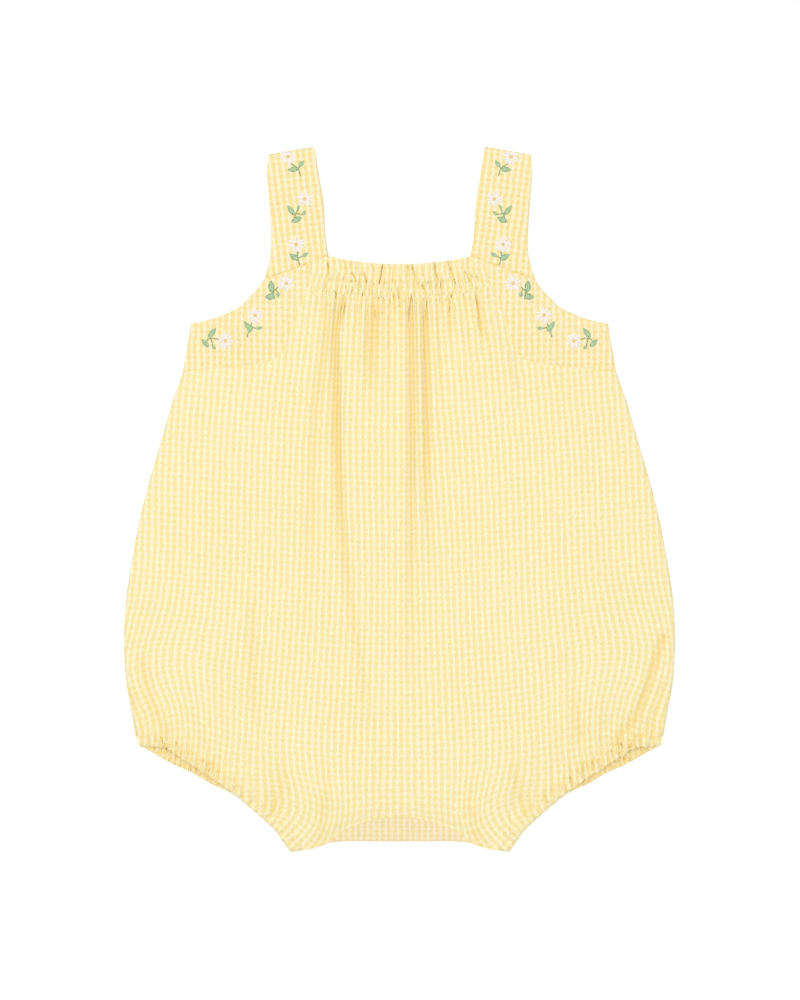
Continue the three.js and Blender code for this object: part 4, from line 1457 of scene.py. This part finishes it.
SPRIGS = (
    Sprig(
        (-63.0, 193.5),
        8,
        (Leaf(2.8, -7.2, 186, 5.4, 2.9), Leaf(7.6, -3.9, 52, 4.0, 2.3)),
        (((1.6, -4.0), (4.6, -5.6), (6.2, -7.6), (7.0, -11.0)), ((5.6, -6.8), (6.8, -5.0))),
    ),
    Sprig(
        (-53.6, 169.7),
        20,
        (
            Leaf(-7.8, -6.4, 128, 6.2, 2.6),
            Leaf(-4.4, -11.6, 24, 5.4, 3.2),
            Leaf(-0.4, -8.0, 48, 3.0, 1.8),
            Leaf(-3.5, -4.6, 58, 2.6, 1.3),
        ),
        (
            ((-3.2, -5.2), (-4.8, -7.6), (-6.0, -11.0), (-7.4, -13.2)),
            ((-5.0, -8.2), (-2.8, -8.6), (-1.2, -8.8)),
        ),
    ),
    Sprig(
        (-58.5, 144.0),
        2,
        (Leaf(-1.0, -7.2, 150, 5.6, 3.1), Leaf(5.2, -5.8, 30, 3.8, 2.1), Leaf(1.0, -5.0, 75, 2.0, 1.3)),
        (((0.6, -4.4), (0.9, -7.0), (1.4, -9.4), (2.0, -11.6)), ((1.0, -8.0), (2.8, -7.0), (4.0, -6.4))),
    ),
    Sprig(
        (-64.1, 121.9),
        13,
        (Leaf(-8.4, -1.6, 94, 6.2, 3.3), Leaf(-9.2, -7.5, 186, 5.2, 3.4), Leaf(-4.6, -6.4, -84, 3.0, 2.1)),
        (
            ((-4.4, -1.9), (-6.2, -3.4), (-7.6, -4.6), (-8.0, -6.0)),
            ((-7.0, -3.8), (-7.0, -6.4), (-6.6, -8.8)),
            ((-5.8, -2.9), (-4.8, -5.4)),
        ),
    ),
    Sprig(
        (-81.7, 103.9),
        26,
        (Leaf(-4.6, -5.6, 122, 4.6, 2.5), Leaf(-3.0, -8.0, 246, 4.4, 2.7), Leaf(2.4, -7.2, 8, 3.4, 1.9)),
        (
            ((-1.8, -4.4), (-3.0, -7.0), (-3.8, -10.0), (-4.6, -12.4)),
            ((-2.6, -6.6), (-0.4, -7.2), (1.0, -7.4)),
        ),
    ),
    Sprig(
        (-98.6, 89.4),
        5,
        (
            Leaf(-7.3, 4.6, 52, 6.2, 2.7),
            Leaf(-11.3, -1.2, 134, 5.4, 2.6),
            Leaf(-6.4, -3.7, -40, 2.6, 1.8),
        ),
        (((-3.6, 0.9), (-7.0, 1.6), (-9.4, 1.2), (-10.2, 0.2)), ((-8.2, 1.4), (-7.4, -1.2), (-7.0, -2.8))),
    ),
)


@dataclass
class Embroidery:
    """The daisies on straps and bands, in padded satin stitch."""

    surface: Surface
    petals: int = 12
    radius: float = 5.1
    heart: float = 0.8
    shortest: float = 2.0

    def make(self) -> None:
        """Sews every sprig on both sides."""
        white = ThreadWork("daisy_petals", self.surface)
        ochre = ThreadWork("daisy_hearts", self.surface)
        green = ThreadWork("daisy_leaves", self.surface)
        twig = ThreadWork("daisy_stems", self.surface)
        for hand in (-1, 1):
            for number, sprig in enumerate(SPRIGS):
                self._flower(white, ochre, hand, sprig, number)
                self._greens(green, twig, hand, sprig)
        Thread("white_satin_thread", (238, 222, 216), (252, 245, 238), 0.32, 0.4).dress(white.finish())
        Thread("ochre_thread", (226, 190, 120), (242, 214, 150)).dress(ochre.finish())
        Thread("sage_thread", (98, 130, 98), (178, 206, 160), 0.42, 1.3).dress(green.finish())
        Thread("olive_thread", (112, 122, 82), (160, 176, 118), 0.32, 1.0).dress(twig.finish())

    def _flower(self, white: ThreadWork, ochre: ThreadWork, hand: int, sprig: Sprig, number: int) -> None:
        """Sews a daisy's petals and its heart."""
        cx, cy = -hand * sprig.centre[0], sprig.centre[1]
        for k in range(self.petals):
            wobble = 0.08 * math.sin(2.3 * k + number + hand)
            turn = math.radians(sprig.turn) + 2 * math.pi * k / self.petals + wobble
            turn = turn if hand < 0 else math.pi - turn
            reach = self.radius * (0.95 + 0.08 * math.sin(3.7 * k + 2 * number + hand))
            reach = min(reach, self._room(cx, cy, turn))
            if reach < self.shortest:
                continue
            middle = (self.heart + reach) / 2
            place = (cx + middle * math.cos(turn), cy + middle * math.sin(turn))
            width = 1.5 + 0.2 * math.sin(5.1 * k + number)
            white.pad(place, turn, reach - self.heart, width, 0.4, -0.6)
        ochre.pad((cx, cy), 0.3 * number, 2.0, 1.9, 0.55)

    @staticmethod
    def _room(x: float, y: float, turn: float) -> float:
        """How far a petal can go before the shoulder's fold."""
        rise = math.sin(turn) - SHOULDER_SLOPE * math.cos(turn) * math.copysign(1, x)
        fold_x, fold_y = STRAP_OUTER[-1]
        edge = fold_y + (fold_x - abs(x)) * SHOULDER_SLOPE
        return (edge - 0.5 - y) / rise if rise > 0.05 else math.inf

    def _greens(self, green: ThreadWork, twig: ThreadWork, hand: int, sprig: Sprig) -> None:
        """Sews a sprig's leaves and stems."""
        cx, cy = sprig.centre

        def placed(dx: float, dy: float) -> Point:
            """A place beside the flower, mirrored on the right side."""
            return (cx + dx) * -hand, cy + dy

        for leaf in sprig.leaves:
            turn = math.radians(leaf.degrees if hand < 0 else 180 - leaf.degrees)
            green.pad(placed(leaf.x, leaf.y), turn, leaf.length * 1.12, leaf.width * 1.16, 0.36, 0.7)
        for stem in sprig.stems:
            for a, b in zip(stem, stem[1:]):
                p, q = placed(*a), placed(*b)
                twig.stitch(p, q, math.dist(p, q) + 0.6, 0.7, 0.24)


@dataclass
class Stitching:
    """Machine stitches along the neck casing and the hems of the legs and the crotch."""

    surface: Surface
    pitch: float = 2.6
    length: float = 1.9

    def make(self) -> None:
        """Sews every visible row."""
        work = ThreadWork("machine_stitches", self.surface)
        for share in (0.06, CHANNEL_SHARE):
            points = [(x, mix(neck_column(x, 2), neck_column(x, 1), share)) for x in spread(40, -49.0, 49.0)]
            self._row(work, SmoothLine(points, 4))
        for hand in (-1, 1):
            edge = beside(FRONT_LEG, LEG_CASING - 0.9)
            self._row(work, SmoothLine([(hand * x, y) for x, y in edge], 2))
        hem = [(x, y + 2.6) for x, y in FRONT_CROTCH[2:]]
        self._row(work, SmoothLine([*[(-x, y) for x, y in hem[:-1]], *hem[::-1]]))
        Thread("sewing_thread", (236, 220, 160), (253, 242, 200), 0.2).dress(work.finish())

    def _row(self, work: ThreadWork, line: SmoothLine) -> None:
        """Sews one row."""
        count = int(line.length / self.pitch)
        for k in range(count):
            start, end = line.at((k + 0.12) / count), line.at((k + 0.88) / count)
            work.stitch(start, end, self.length, 0.36, 0.14)


@dataclass
class Studio:
    """Pale floor, soft light from above and a camera straight over the garment."""

    height: float = 1.574
    lens: float = 100.0
    aim: Point = (0.28, -0.56)
    overhead_power: float = 220.0
    side_power: float = 8.0
    air_light: float = 0.39

    def set_up(self) -> None:
        """Makes floor, lights, surroundings and camera."""
        self._floor()
        self._light("overhead_light", Vector((-0.1, 0.3, 6.0)), 1.2, self.overhead_power)
        self._light("side_light", Vector((-0.7, 0.7, 2.2)), 1.2, self.side_power)
        world = bpy.data.worlds.new("studio_air")
        world.use_nodes = True
        air = world.node_tree.nodes["Background"]
        air.inputs["Color"].default_value = (1.0, 1.0, 1.0, 1.0)
        air.inputs["Strength"].default_value = self.air_light
        bpy.context.scene.world = world
        bpy.context.scene.view_settings.view_transform = "Standard"
        self._camera()

    @staticmethod
    def _floor() -> None:
        """A wide pale floor at the height that the garment rests on."""
        bm = bmesh.new()
        bmesh.ops.create_grid(bm, x_segments=1, y_segments=1, size=3.0)
        bmesh.ops.translate(bm, verts=bm.verts, vec=Vector((0, 0, -FLOOR_GAP)))
        mesh = bpy.data.meshes.new("floor")
        bm.to_mesh(mesh)
        bm.free()
        floor = add_object("floor", mesh)
        shade = Shade("pale_floor")
        shade.fix(Roughness=0.9, Specular_IOR_Level=0.1)
        shade.surface.inputs["Base Color"].default_value = (0.96, 0.96, 0.96, 1.0)
        mesh.materials.append(shade.material)

    @staticmethod
    def _light(name: str, place: Vector, size: float, power: float) -> None:
        """A square soft light that looks at the garment."""
        data = bpy.data.lights.new(name, "AREA")
        data.size = size
        data.energy = power
        light = add_object(name, data)
        light.location = place
        light.rotation_euler = (-place).to_track_quat("-Z", "Y").to_euler()

    def _camera(self) -> None:
        """Looks straight down, with the picture's long side along Y."""
        data = bpy.data.cameras.new("camera")
        data.lens = self.lens
        data.clip_start = 0.01
        camera = add_object("camera", data)
        camera.location = Vector((self.aim[0] * MM, self.aim[1] * MM, self.height))
        bpy.context.scene.camera = camera


def main() -> None:
    """Builds the romper piece by piece, then dresses and lights it."""
    logging.basicConfig(level=logging.INFO, format="%(name)s: %(message)s")
    Studio().set_up()
    bodice = Bodice()
    casing = NeckCasing()
    shown = [bodice.make_front(), casing.make_front()]
    hidden = [bodice.make_back(), casing.make_back()]
    inside = Placket().make()
    trimmed = []
    for hand in (-1, 1):
        band, strap, leg = ArmholeBand(hand), Strap(hand), LegCasing(hand)
        trimmed += [band.make(Facing.UP), strap.make()]
        hidden += [band.make(Facing.DOWN), leg.make(Facing.DOWN)]
        shown.append(leg.make(Facing.UP))
    Gingham("gingham_seersucker").dress(*shown, *hidden)
    Gingham("gingham_bands", pale=(249, 239, 207), full=(243, 221, 150)).dress(*trimmed)
    Gingham("gingham_inside", pale=(247, 234, 205), full=(240, 217, 156)).dress(inside)
    surface = Surface([*shown, *trimmed])
    Embroidery(surface).make()
    Stitching(surface).make()


if __name__ == "__main__":
    main()
